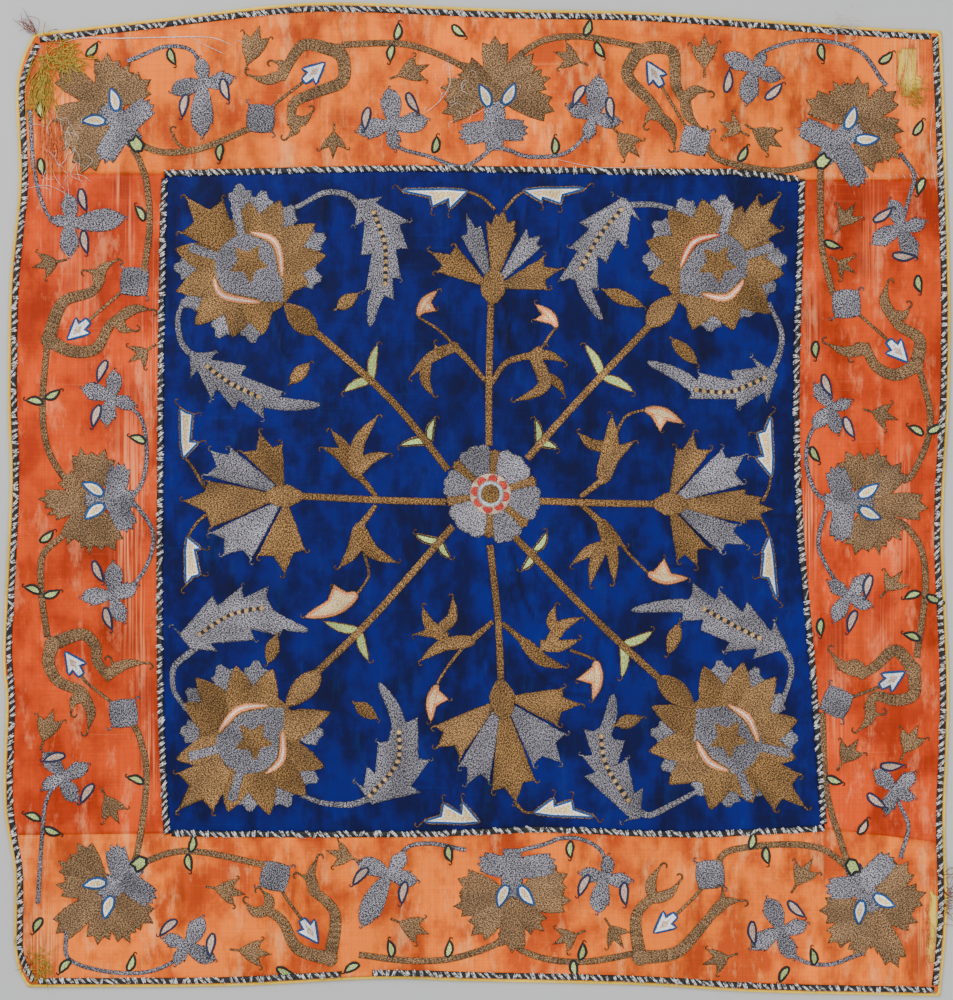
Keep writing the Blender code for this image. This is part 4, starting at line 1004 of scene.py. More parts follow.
def laid_thread(name, forms, stands_for, cell=2.6, pile=None):
    """Embroidery: forms laid over one another in order, domed between their rims, as one closed mesh."""
    rng = np.random.default_rng(len(name) * 97 + len(forms))
    pile = (pile or bpy.context.scene.wrapping_sizes.thread_pile) / MM
    outlines, owners, group = [], [], -1
    for form in forms:
        group += 1 if form.apart or group < 0 else 0
        for part in form.parts:
            wobble = rng.normal(0.0, 0.18, part.outline.shape)
            outlines.append(part.outline + wobble * (form.apart and len(part.outline) > 4))
            owners.append((form.finish, part.heading, part.along, group))
    names, headings, shifts, groups = map(np.array, zip(*owners))
    points, edges = [], []
    for outline in outlines:
        start, count = len(points), len(outline)
        points += [tuple(p) for p in outline]
        edges += [(start + i, start + (i + 1) % count) for i in range(count)]
    rim_tree = tree_of(np.array(points))
    loose = [p for p in lattice_in(outlines, cell) if rim_tree.find((*p, 0.0))[2] > cell * 0.38]
    found, _, cells, *_ = delaunay_2d_cdt(points + loose, edges, [], 0, 0.04, False)
    found = np.array([tuple(p) for p in found])
    cells = np.array([tuple(c) for c in cells], int)
    middles = found[cells].mean(1)
    owner = np.full(len(cells), -1)
    for i, outline in enumerate(outlines):
        near = np.flatnonzero(((middles >= outline.min(0)) & (middles <= outline.max(0))).all(1))
        if len(near):
            owner[near[inside(outline, middles[near])]] = i
    cells, owner = cells[owner >= 0], owner[owner >= 0]
    used, cells = np.unique(cells, return_inverse=True)
    cells = cells.reshape(-1, 3)
    found = found[used]
    a, b, c = (found[cells[:, i]] for i in range(3))
    back = (b[:, 0] - a[:, 0]) * (c[:, 1] - a[:, 1]) - (b[:, 1] - a[:, 1]) * (c[:, 0] - a[:, 0]) > 0
    cells[back] = cells[back][:, ::-1]
    outer, outer_cell, inner = rims_of(cells, groups[owner])
    outside = distance_to(found, found, outer)
    edge = distance_to(found, found, np.vstack([outer, inner]))
    x, y = found.T
    floor = THREAD_FOOT + fall(x, y)
    foot = 0.30 + 0.25 * (1 - np.exp(-outside / 0.8))
    top = floor + foot + pile * (1 - np.exp(-edge / 1.5))
    count = len(found)
    places = np.vstack([np.stack([x, y, level], 1) for level in (top, floor)])
    walls = [(q, p, p + count, q + count) for p, q in outer.tolist()]
    faces = [tuple(t) for t in cells] + [(r + count, q + count, p + count) for p, q, r in cells] + walls
    face_owner = np.concatenate([owner, owner, owner[outer_cell]])
    finishes, finish_of = np.unique(names, return_inverse=True)
    obj = mesh_object(name, places, faces, finishes.tolist(), finish_of[face_owner])
    mesh = obj.data
    loop_owner = np.repeat(face_owner, read(mesh.polygons, "loop_total", kind=np.int32))
    angle = np.radians(headings)[loop_owner]
    x, y = found[read(mesh.loops, "vertex_index", kind=np.int32) % count].T
    run = x * np.cos(angle) + y * np.sin(angle) + shifts[loop_owner]
    # Each group is shifted across the threads, so that its turns and painted glint differ from its
    # neighbours'
    over = -x * np.sin(angle) + y * np.cos(angle) + 3.7 * groups[loop_owner]
    add_uv(mesh.uv_layers.new(name="thread"), run, over)
    # Distance from the rims, by which the thread's material paints shade and a dark outline at the rims
    float_attribute(mesh, "rim", np.tile(edge, 2))
    return settle(obj, stands_for)


def tree_of(points):
    tree = kdtree.KDTree(len(points))
    for i, (x, y) in enumerate(points):
        tree.insert((x, y, 0.0), i)
    tree.balance()
    return tree


def distance_to(places, found, edges):
    """How far each place is from the nearest end or middle of the edges."""
    a, b = found[edges[:, 0]], found[edges[:, 1]]
    tree = tree_of(np.vstack([a, b, (a + b) / 2]))
    return np.array([tree.find((x, y, 0.0))[2] for x, y in places])


def lattice_in(outlines, cell):
    """Evenly spread points inside any of the outlines."""
    rows = {}
    for outline in outlines:
        low, high = outline.min(0), outline.max(0)
        height = cell * 0.866
        for r in range(math.ceil(low[1] / height), math.floor(high[1] / height) + 1):
            shift = 0.5 * (r % 2)
            c = np.arange(math.ceil(low[0] / cell - shift), math.floor(high[0] / cell - shift) + 1)
            if len(c):
                places = np.stack([(c + shift) * cell, np.full(len(c), r * height)], 1)
                for column in c[inside(outline, places)]:
                    rows[(int(column), r)] = ((column + shift) * cell, r * height)
    return [rows[key] for key in sorted(rows)]


def rims_of(cells, groups):
    """The edges that one triangle alone has, with its number, and those where two groups meet."""
    pairs = np.vstack([cells[:, [0, 1]], cells[:, [1, 2]], cells[:, [2, 0]]])
    triangle = np.tile(np.arange(len(cells)), 3)
    keys = np.sort(pairs, 1)
    order = np.lexsort((keys[:, 1], keys[:, 0]))
    pairs, keys, triangle = pairs[order], keys[order], triangle[order]
    first = np.flatnonzero((keys[1:] == keys[:-1]).all(1))
    inner = keys[first[groups[triangle[first]] != groups[triangle[first + 1]]]]
    alone = np.ones(len(keys), bool)
    alone[first] = alone[first + 1] = False
    return pairs[alone], triangle[alone], inner


# Motifs: each returns the forms of one piece, undermost first

def stem_forms(look, route, width, end=None):
    return [Form(look, ribbon(route, width, end))]


def fan_outline(heart, start, end, inner, reach, scallops):
    """A fan round a heart between two headings, with a scalloped outer edge."""
    t = np.linspace(0, 1, 8 * scallops + 1)
    out = reach - 7.0 * (2 * t - 1) ** 4 + 2.4 * np.abs(np.sin(scallops * math.pi * t))
    arc = [turned(a, r) + heart for a, r in zip(start + (end - start) * t, out)]
    return np.array(arc + [turned(a, inner) + heart for a in np.linspace(end, start, 5)])


def rosette_forms():
    """Six scalloped silver lobes parted by gold bars, round a ring of red scallops with a gold heart."""
    heart = np.array(ROSETTE_HEART)
    forms = []
    for (start, reach), (end, _) in zip(ROSETTE_BARS, ROSETTE_BARS[1:] + ROSETTE_BARS[:1]):
        end += 360 if end < start else 0
        outline = fan_outline(heart, start + 4, end - 4, 12.0, reach, 3)
        forms.append(one_part("silver", outline, (start + end) / 2))
    for heading, reach in ROSETTE_BARS:
        tips = [turned(heading + k, reach - 1.5 * abs(k) / 7) + heart for k in (-7, 0, 7)]
        forms.append(one_part("gold", toothed(turned(heading, 14.0) + heart, tips, 8.0, 1.5, -0.04), heading))
    forms.append(round_form("peach", heart, 20.5, 0, 40))
    for i in range(8):
        forms.append(round_form("rose", turned(45 * i + 10, 14.6) + heart, 4.9, 45 * i, 10))
    for look, radius in (("peach", 13.6), ("sky_white", 12.4)):
        forms.append(round_form(look, heart, radius, 0, 30))
    return forms + [round_form("gold", heart, 9.5, 30)]


def carnation_forms(row):
    """A calyx with five toothed petals that stand apart."""
    forms = stem_forms("gold", row["stem"], 7.0)
    calyx = spot(row["calyx"])
    for k, (tips, width) in enumerate(row["petals"]):
        look = ("gold", "silver")[k % 2]
        heading = heading_of(calyx, np.mean(tips, axis=0))
        foot = calyx + turned(heading, row["round"] * 0.9)
        form = one_part(look, toothed(foot, tips, width, 9.0, 0.01), heading)
        curled = tips if len(tips) == 3 and look in row.get("hooked", ("gold", "silver")) else ()
        forms.append(with_curls(form, curled, foot, 3.0, 2.0))
    pear = petal(row["foot"], calyx + (calyx - row["foot"]) * 1.3, row["round"] * 1.9, 0.28, 0.5, 0.6)
    return forms + hooked([round_form("gold", calyx, row["round"], 40)], [pear])


def branch_forms(stalk, arms, bud_stalk, bud):
    """A curled leaf of pointed arms on a stalk, with a coral bud beyond it."""
    base = spot(stalk[-1])
    parts = ribbon(stalk, 4.6, 7.5) + round_form("gold", base, 5.5, heading_of(*stalk[-2:]), 12).parts
    for tip, bend, width, *start in arms:
        start = start[0] if start else base
        route = bent(start, tip, bend)
        parts.append(Part(sweep(route, width, 0.8, 0.35, 0.9), heading_of(start, tip)))
        parts += curl(tip, heading_of(route[1], tip), 3.2, -1 if bend > 0 else 1, 2.1)
    forms = stem_forms("gold", bud_stalk, 3.4, 2.6) if bud_stalk else []
    return forms + [Form("gold", parts)] + (bud_forms(*bud) if bud else [])


def bud_forms(foot, tip, tooth):
    """A slim coral bud with one barb and a cream heart, in a thin gold outline."""
    foot, tip, tooth = (spot(p) for p in (foot, tip, tooth))
    heading = heading_of(foot, tip)
    side = turned(heading + 90, 1.0)
    waist = (foot + tip) / 2 + side * math.copysign(1.0, (foot - tooth) @ side) * 2.5
    body = sweep([foot, waist, tip], 0.30 * math.dist(foot, tip), 0.3, 0.4)
    barb = closed([foot + (tip - foot) * 0.08, tooth, foot + (tip - foot) * 0.62, waist], 2.0)
    forms = []
    for look, reach in (("gold", 0.9), ("coral", -0.3), ("cream", -3.0)):
        parts = [Part(grown(outline, reach), heading) for outline in (body, barb)]
        forms.append(Form(look, parts, not forms))
    return hooked(forms, curl(tip, heading, 2.8, 1, 1.6) + curl(tooth, heading_of(foot, tooth), 2.6, -1, 1.6))


def arrow_leaf_forms(stalk, far, near, teeth):
    """A slim cream leaf in white, blue and thin gold outlines, with two barbs on one edge."""
    far, near = spot(far), spot(near)
    teeth = [spot(t) for t in teeth]
    ahead = (near - far) / math.dist(near, far)
    side = np.array([-ahead[1], ahead[0]])
    side = side * math.copysign(1.0, (teeth[0] - far) @ side)

    def notch(tooth, depth, back):
        return far + ahead * ((tooth - far) @ ahead + back) + side * depth

    points = [
        far, far + (near - far) * 0.35 - side * 0.5, far + (near - far) * 0.7 - side * 1.2, near,
        teeth[1], notch(teeth[1], 6.5, -1.0), teeth[0], notch(teeth[0], 5.0, -2.0),
    ]
    layers = (("gold", 2.9), ("sky_blue", 1.8), ("white", -0.3), ("cream", -1.9))
    forms = layered(closed(points, 2.0), heading_of(far, near), layers)
    way = math.copysign(1.0, side[0] * ahead[1] - side[1] * ahead[0])
    hooks = curl(far - ahead * 6.0 - side * 3.5, heading_of((0, 0), -ahead - side), 3.2, way, 1.8, 9.0)
    for tooth in teeth:
        step = side * 6.0 - ahead * 1.5
        hooks += curl(tooth + step, heading_of((0, 0), step), 2.8, way, 1.6, 8.0)
    stem = stem_forms("gold", (*stalk, tuple(near)), 3.4, 2.6) if stalk else []
    return stem + hooked(forms, hooks)


def blossom_forms(row):
    """A ring of pointed gold petals with silver ones between them, and a bud on the stem below."""
    centre = spot(row["centre"])
    forms = stem_forms("gold", row["stem"], 7.2)
    gold = round_form("gold", centre, 51.0, 30, 40).parts
    for tip in row["gold"]:
        heading = heading_of(centre, tip)
        base = centre + turned(heading, 30)
        outline = sweep([base, (base + tip) / 2, spot(tip)], 29.0, 0.95, 0.32, 1.15)
        gold.append(Part(outline, heading, math.dist(base, tip)))
    for tip in row["silver"]:
        heading = heading_of(centre, tip)
        ahead, side = axes(heading)
        end = spot(tip)
        start = centre + ahead * max(43.0, math.dist(centre, tip) - 36.0)
        long = math.dist(start, end)
        edge = ((0.42, 10.4), (0.76, 12.4), (0.80, 6.8))
        one, other = ([start + ahead * long * a + side * way * b for a, b in edge] for way in (1, -1))
        points = [start, *one, end + side * 2.8, end, end - side * 2.8, *other[::-1]]
        forms.append(one_part("silver", closed(points, 2.0), heading))
    forms.append(Form("gold", gold))
    big = [spot(p) for p in row["big"]]
    foot = centre + (np.mean(big, axis=0) - centre) * 0.42
    form = one_part("gold", toothed(foot, big, 20.0, 13.0, 0.03), heading_of(centre, np.mean(big, 0)))
    forms.append(with_curls(form, [big[1], big[0], big[2]], centre, 3.0, 2.2))
    heading = heading_of(centre, big[1])
    for way in (-29, 29):
        forms += stem_forms("silver", [centre + turned(heading + way, r) for r in (30, 63)], 8.0, 9.5)
    corner, bud = spot(row["corner"]), spot(row["bud"])
    return forms + [Form("gold", [petal(longer(corner, bud, 5.0), corner, 24.0, 0.3, 0.42, 1.1)])]


def eye_forms(row):
    """The silver heart of a blossom, with its gold star and two coral crescents."""
    centre, corner = spot(row["centre"]), spot(row["corner"])
    heading = heading_of(centre, corner)
    ahead, side = axes(heading)
    points = [corner, centre + ahead * 24 + side * 27]
    points += [centre + turned(heading + a, 34.5) for a in range(75, 290, 20)]
    points += [centre + ahead * 24 - side * 27]
    star = [spot(row["star"]) + turned(36 * k + 12, (19.0, 9.5)[k % 2]) for k in range(10)]
    forms = [one_part("silver", closed(points, 2.4), 40.0), one_part("gold", closed(star, 2.0), 20.0)]
    for route, rim in zip(row["crescents"], (row.get("rim", "coral"), "coral")):
        spine = smooth(route, 2.0)
        forms.append(one_part(rim, tapered(spine, 9.0)))
        forms.append(one_part("coral", tapered(spine[1:-1], 5.0), apart=False))
        forms.append(one_part("pink", tapered(spine[3:-3], 2.2), apart=False))
    return forms


def tapered(spine, width):
    """The outline of a crescent: widest in the middle of its spine."""
    t = np.linspace(0, 1, len(spine))
    half = (width / 2 * np.sin(np.clip(t, 0.02, 0.98) * math.pi) ** 0.6)[:, None]
    side = across(spine)
    return np.vstack([spine - side * half, (spine + side * half)[::-1]])


def leaf_forms(foot, tip, rim, way=1):
    """A small green leaf in a thin outline, with a curled tip."""
    near = rim == "black"
    outline = sweep(bent(foot, tip, -2.0 * way), 5.2 if near else 7.6, 0.3, 0.42)
    heading = heading_of(foot, tip)
    reach = (("gold", 2.2), (rim, 1.2), ("green", 0.0)) if near else (("gold", 1.3), ("green", 0.0))
    return hooked(layered(outline, heading, reach), curl(tip, heading, 3.6, way, 1.7))


def serrated_forms(stalk, base, tip, one, other, midrib):
    """A long silver leaf with saw teeth that end in hooks, and a midrib of dark and gold beads."""
    spine = smooth([base, *midrib, tip], 4.0)
    base, tip = spot(base), spot(tip)

    def edge(teeth):
        points = []
        for tooth in (spot(t) for t in teeth):
            nearest = spine[np.argmin(np.hypot(*(spine - tooth).T))]
            away = math.dist(nearest, tooth)
            inward = (nearest - tooth) / (away + 1e-9)
            back = (base - tooth) / (math.dist(base, tooth) + 1e-9)
            points += [tooth, tooth + inward * min(11.0, away * 0.5) + back * 1.0]
        return points

    last = spot(midrib[-1])
    outline = closed([base] + edge(one) + [last + (tip - last) * 0.3] + edge(other)[::-1], 2.4)
    tail = sweep(bent(last - (tip - last) * 0.2, tip, 4.0), 14.0, 0.8, 0.3, 0.55)
    route = [tuple(longer(stalk[1], stalk[0], 7.0)), *stalk, tuple(base + (tip - base) * 0.06)]
    forms = stem_forms("silver", route, 4.6, 7.0)
    heading = heading_of(base, tip)
    body = Form("silver", [Part(outline, heading), Part(tail, heading)])
    forms.append(with_curls(body, [*one[::2], *other[1::2]], spine.mean(0), 2.2, 1.6))
    beads = even(smooth(midrib, 3.0), 2 * round(sum(map(math.dist, midrib, midrib[1:])) / 7.6) + 1)
    heading = heading_of(midrib[0], midrib[-1])
    for i, place in enumerate(beads):
        forms.append(round_form("black" if i % 2 else "pale_gold", place, 2.0 if i % 2 else 2.5, heading, 8))
    return forms


def small_leaf_forms(foot, tip):
    """A small pointed gold leaf with a thread left at either end."""
    foot, tip = spot(foot), spot(tip)
    ahead = (tip - foot) / math.dist(foot, tip)
    heading = heading_of(foot, tip)
    outline = sweep([foot + ahead * 4, (foot + tip) / 2, tip - ahead * 3], 14.5, 0.15, 0.46)
    threads = ribbon([foot, foot + ahead * 6], 2.0, 2.6) + curl(tip - ahead * 2, heading, 2.0, 1, 1.6)
    return [Form("gold", [Part(outline, heading)] + threads)]


def lobe_tips(base, tip, spread, teeth=3, drop=5.0):
    """A row of points across the end of a lobe, the middle one furthest out."""
    ahead, side = axes(heading_of(base, tip))
    return [spot(tip) + side * spread / 2 * r - ahead * drop * r * r for r in np.linspace(-1, 1, teeth)]


def palmette_forms(row):
    """An oak-leaf palmette: blunt gold lobes parted by deep notches on a silver foot, with two white eyes."""
    centre, foot = spot(row["centre"]), spot(row["foot"])
    gold = round_form("dull_gold", centre, 19.0, 10, 26).parts
    headings = [heading_of(centre, tip) for tip in row["gold"]]
    for tip, heading in zip(row["gold"], headings):
        gaps = sorted(abs((other - heading + 180) % 360 - 180) for other in headings)[1:3]
        wide = min(26.0, max(14.0, 0.66 * math.radians(sum(gaps) / 2) * math.dist(centre, tip)))
        base = centre + turned(heading, 8.0)
        lobe = toothed(base, lobe_tips(base, tip, wide, 3, 7.0), wide * 0.58, 5.5, 0.05)
        gold.append(Part(lobe, heading))
        for way in (-0.40, 0.40):
            root = base + (spot(tip) - base) * 0.42
            point = base + (spot(tip) - base) * 0.60 + turned(heading + 90, wide * way * 1.25)
            gold.append(Part(sweep([root, point], wide * 0.45, 0.9, 0.4), heading))
    ahead = (centre - foot) / math.dist(centre, foot)
    heading = heading_of(foot, centre)
    crown = lobe_tips(foot, foot + ahead * 47.0, 20.0, 4, 2.5)
    silver = [Part(toothed(foot - ahead * 4, crown, 17.0, 3.0, 0.03), heading)]
    base = foot + ahead * 17.0
    for tip in row["silver"]:
        outline = toothed(base, lobe_tips(base, tip, 20.0, 4, 5.0), 19.0, 3.5, 0.04)
        silver.append(Part(outline, heading_of(base, tip)))
    forms = [Form("dull_gold", gold), Form("silver", silver)]
    for eye in row["eyes"]:
        lean = 1.9 * ((heading_of(foot, eye) - heading + 180) % 360 - 180)
        step = turned(heading + lean, 12.0)
        forms += drop_forms(spot(eye) - step, spot(eye) + step, 11.5, "sky_blue", "white", "cream")
    if "bead" in row:
        outline = closed(np.array([spot(row["bead"]) + turned(heading + 180 + a, r) for a, r in BEAD]), 2.0)
        forms += layered(outline, 30, (("black", 1.4), ("green", -1.2)))
    return forms


def longer(start, end, by):
    """The place beyond the end of a line from its start."""
    start, end = spot(start), spot(end)
    return end + (end - start) / math.dist(start, end) * by


def vine_route(route, centre):
    """A vine's route let in under the palmette that it grows from and under what it ends at."""
    return [tuple(longer(centre, route[0], -12.0)), *route, tuple(longer(*route[-2:], 7.0))]


def drop_forms(foot, tip, width, rim, body, core=None):
    """A drop in an outline, with a heart of its own where one is told."""
    outline = sweep(bent(foot, tip, 1.2), width, 0.35, 0.4)
    layers = [(rim, 0.6), (body, -1.6)] + ([(core, -3.2)] if core else [])
    return layered(outline, heading_of(foot, tip), layers)


def orchid_forms(stalk, centre, ends, hearts):
    """A silver blossom of four jagged petals with two drops between them."""
    centre = spot(centre)
    near = [row["foot"] for row in PALMETTES.values() if math.dist(row["foot"], stalk[0]) < 40]
    route = [near[0] if near else tuple(longer(stalk[1], stalk[0], 8.0)), *stalk, tuple(centre)]
    parts = round_form("silver", centre, 5.5, 0, 10).parts
    for end in ends:
        end = centre + (spot(end) - centre) * 1.16
        wide = min(21.0, 0.52 * math.dist(centre, end))
        heading = heading_of(centre, end)
        jagged = lobe_tips(centre, centre + (end - centre) * 0.78, wide, 4, 1.0)
        parts.append(Part(sweep(bent(centre, end, 2.0), wide, 0.3, 0.62, 0.85), heading))
        parts.append(Part(toothed(centre, jagged, 4.0, 2.6, 0.06), heading))
        parts += curl(end, heading, 1.8, 1, 1.5, 1.5)
    forms = stem_forms("silver", route, 4.6, 3.8) + [Form("silver", parts)]
    for drop in hearts:
        drop = spot(drop)
        lean = turned(heading_of(centre, drop), 0.35) + turned(heading_of(centre, ends[3]), 1.0)
        lean /= np.hypot(*lean)
        tip = drop + lean * 12.0
        drops = drop_forms(drop - lean * 11.0, tip, 9.0, "navy", "peach")
        forms += hooked(drops, curl(tip, heading_of((0, 0), lean), 2.2, 1, 1.4))
    return forms


def cloud_forms(route, forks):
    """A sinuous band that narrows from its knob to a fork of two curls."""
    parts = ribbon(route, 14.0, 9.0)
    start = longer(route[-2], route[-1], -6.0)
    for tip, way in zip(forks, (1, -1)):
        arm = bent(start, tip, -5 * way)
        parts.append(Part(sweep(arm, 11.5, 0.85, 0.3, 1.2), heading_of(start, tip)))
        parts += curl(tip, heading_of(arm[1], tip), 4.2, way, 2.4)
    return [Form("dull_gold", parts + round_form("dull_gold", route[0], 8.0, 0, 12).parts)]


def cloud_arrow_forms(point, stalk, bud):
    """A white arrow on a thin gold stalk that grows from a square silver bud."""
    point, bud = spot(point), spot(bud)
    forms = stem_forms("dull_gold", (tuple(point), *stalk, tuple(bud)), 3.2)
    heading = heading_of(bud, stalk[0])
    corner = ((45, 14.5), (68, 15.5), (82, 16.5), (90, 19.0), (98, 16.5), (112, 15.5))
    square = [bud + turned(heading + 90 * k + a, r) for k in range(4) for a, r in corner]
    parts = [Part(closed(square, 2.0), heading + 45)]
    for k in (90, 270):
        parts += curl(bud + turned(heading + k, 20.0), heading + k, 2.4, 1, 1.8)
    ahead, side = axes(heading_of(stalk[0], point))
    edge = ((15, 0), (6, 4.5), (-4, 9.5), (-2, 3.5), (-11, 2.5))
    edge += tuple((a, -b) for a, b in edge[:0:-1])
    outline = closed([point + ahead * a + side * b for a, b in edge], 2.0)
    layers = (("sky_blue", 2.3), ("white", 0.0), ("peach", -2.8))
    return forms + [Form("silver", parts)] + layered(outline, heading, layers)


def small_palmette_forms(foot, tip):
    """A small gold half flower of three points on a short stalk."""
    foot, tip = spot(foot), spot(tip)
    heading = heading_of(foot, tip)
    ahead, side = axes(heading)
    tips = [tip - ahead * 11 - side * 13, tip, tip - ahead * 9 + side * 13]
    flower = Part(toothed(foot, tips, 3.5, 8.0, 0.10), heading)
    form = Form("dull_gold", [flower] + ribbon([foot - ahead * 10, foot + ahead * 2], 2.4))
    return [with_curls(form, [tips[0], tips[2]], foot + ahead * 8, 2.2, 1.7)]


def border_leaf_forms(place, heading, body="green"):
    """A small leaf in a black outline."""
    foot, tip = spot(place) - turned(heading, 8.5), spot(place) + turned(heading, 9.0)
    outline = sweep(bent(foot, tip, 1.5), 8.6, 0.3, 0.42)
    return hooked(layered(outline, heading, (("black", 0.5), (body, -1.9))), curl(tip, heading, 2.0, 1, 1.5))


def carried_forms(small, leaves):
    """The small palmettes and leaves of the border that grow from one carrier."""
    forms = []
    for foot, tip in small:
        forms += small_palmette_forms(foot, tip)
    for right, down, heading, *body in leaves:
        forms += border_leaf_forms((right, down), heading, *body)
    return forms


# Cords

def side_span(side, start=0.0, stop=1.0):
    """The part of a side between two shares of its length, as finely spaced points."""
    fine = even(smooth(side, 4.0), 400)
    return fine[int(start * 399):int(stop * 399) + 1]


# The three strands of a bundle: how far along it stands, its turn, length and thickness
STRANDS = ((-1.05, 66, 4.0, 0.62), (0.0, 76, 4.5, 0.75), (0.95, 60, 3.9, 0.6))


def twist_bundle():
    """One slanted bundle of silver threads, modelled once: three slim strands side by side."""
    bpy.ops.object.select_all(action="DESELECT")
    bpy.ops.mesh.primitive_uv_sphere_add(segments=6, ring_count=5, radius=1.0)
    ball = bpy.context.object
    wide, high, long = read(ball.data.vertices, "co", 3).T
    rows = [tuple(p.vertices) for p in ball.data.polygons]
    bpy.data.objects.remove(ball, do_unlink=True)
    points, faces = [], []
    for k, (along, turn, length, thick) in enumerate(STRANDS):
        x, y, angle = long * length, wide * thick, math.radians(turn)
        ahead = along * 1.15 + x * math.cos(angle) - y * math.sin(angle)
        points.append(np.stack([ahead, x * math.sin(angle) + y * math.cos(angle), high * 0.8], 1))
        faces += [tuple(v + k * len(x) for v in row) for row in rows]
    return np.vstack(points), faces


def tube_faces(rings, around, start=0, closed_up=False):
    """The side faces of a tube of rings of points, whose last ring may meet its first."""
    count = rings * around
    return [
        (start + a, start + b, start + (b + around) % count, start + (a + around) % count)
        for i in range(rings if closed_up else rings - 1)
        for a, b in ((i * around + j, i * around + (j + 1) % around) for j in range(around))
    ]


def cord_piece(name, curve, bundle, rng):
    """A black cord along a curve with slanted bundles of silver thread over it."""
    sizes = bpy.context.scene.wrapping_sizes
    width, height, pitch = sizes.cord_width / MM, sizes.cord_height / MM, sizes.cord_pitch / MM
    side, run = across(curve), run_of(curve)
    profile = [(math.cos(math.pi * i / 6), math.sin(math.pi * i / 6)) for i in range(7)]
    core, ring = even(curve, max(3, round(run[-1] / 5))), len(profile)
    points = [
        (*(place + over * c * width * 0.43), CORD_FOOT + (height - 0.7) * s)
        for place, over in zip(core, across(core)) for c, s in profile
    ]
    faces = [(b, a, d, c) for a, b, c, d in tube_faces(len(core), ring)]
    faces += [tuple(range(ring)), tuple(len(points) - 1 - j for j in range(ring))]
    body, body_faces = bundle
    bare, count = len(faces), int(run[-1] / pitch)
    for k in range(count):
        at = np.clip(k + 0.5 + rng.normal(0, 0.13), 0.3, count - 0.3) * run[-1] / count
        place, over = (np.array([np.interp(at, run, column) for column in rows.T]) for rows in (curve, side))
        over /= np.hypot(*over)
        ahead = np.array([over[1], -over[0]])
        scale = 1 + rng.normal(0, 0.12)
        slant = rng.normal(0.1, 0.42)
        u = body[:, 0] * rng.uniform(0.7, 1.3) + body[:, 1] * slant
        v = np.clip(body[:, 1] * scale * 0.9 + rng.normal(0, 0.7), -width * 0.56, width * 0.56)
        arch = np.sqrt(np.clip(1 - (v / (width * 0.60)) ** 2, 0.05, 1))
        z = CORD_FOOT + (height - 0.75) * arch + body[:, 2] * 0.75
        start = len(points)
        points += [(*p, h) for p, h in zip(place + u[:, None] * ahead + v[:, None] * over, z)]
        faces += [tuple(i + start for i in row) for row in body_faces]
    x, y, z = np.array(points).T
    marks = [0] * bare + [1] * (len(faces) - bare)
    places = np.stack([x, y, z + fall(x, y)], 1)
    obj = mesh_object(name.replace("cord", "cord_work"), places, faces, ["cord_black", "cord_silver"], marks)
    fix_outward(obj)
    settle(obj, [name])


def fix_outward(obj):
    """Turns all faces of closed shells outwards."""
    only(obj)
    bpy.ops.object.mode_set(mode="EDIT")
    bpy.ops.mesh.select_all(action="SELECT")
    bpy.ops.mesh.normals_make_consistent(inside=False)
    bpy.ops.object.mode_set(mode="OBJECT")


# Loose threads

def strands_piece(name, rows, look):
    """Thin loose threads as one piece: each row is a route with heights, and a thickness."""
    points, faces = [], []
    ring = [(math.cos(math.radians(a)), math.sin(math.radians(a))) for a in (90, 210, 330)]
    for route, thick in rows:
        route = spot(route)
        flat = smooth(route[:, :2], 2.5)
        run, fine = run_of(route[:, :2]), run_of(flat)
        z = np.interp(fine / fine[-1], run / run[-1], route[:, 2])
        z = z + fall(flat[:, 0], flat[:, 1]) * (z > 1.5)
        start, last = len(points), len(flat) - 1
        for i, (place, over) in enumerate(zip(flat, across(flat))):
            slim = thick * (0.45 + 0.55 * min(1.0, 4 * min(i, last - i) / max(1, last)))
            points += [(*(place + over * c * slim), z[i] + s * slim) for c, s in ring]
        faces += tube_faces(len(flat), 3, start)
        end = start + last * 3
        faces += [(start + 2, start + 1, start), (end, end + 1, end + 2)]
    obj = mesh_object(name, points, faces, [look])
    fix_outward(obj)
    settle(obj, [])


def edge_roll(name, route, radius, level, look):
    """A round roll of cloth along a closed route."""
    curve = even(route, 700)[:-1]
    side = across(np.vstack([curve[-1:], curve, curve[:1]]))[1:-1]
    ring = [(math.cos(2 * math.pi * k / 8), math.sin(2 * math.pi * k / 8)) for k in range(8)]
    points = [
        (*(place + over * c * radius), level + s * radius * 0.66)
        for place, over in zip(curve, side) for c, s in ring
    ]
    obj = mesh_object(name, points, tube_faces(len(curve), 8, closed_up=True), [look])
    fix_outward(obj)
    settle(obj, [])


def tuft(rng, middle, spread, heading, long, count, level, thick=0.32, turn=25.0, sway=5.0):
    """Rows of loose fibres round a place, all about one heading."""
    rows = []
    for _ in range(count):
        start = spot(middle) + rng.normal(0, 1, 2) * spread
        way = heading + rng.normal(0, turn)
        reach = long * (0.45 + 0.75 * rng.random())
        bow = turned(way + 90, rng.normal(0, sway))
        rows.append((
            [(*start, level), (*(start + turned(way, reach * 0.5) + bow), level + 1.2 + rng.random()),
             (*(start + turned(way, reach)), level + 0.5)], thick,
        ))
    return rows


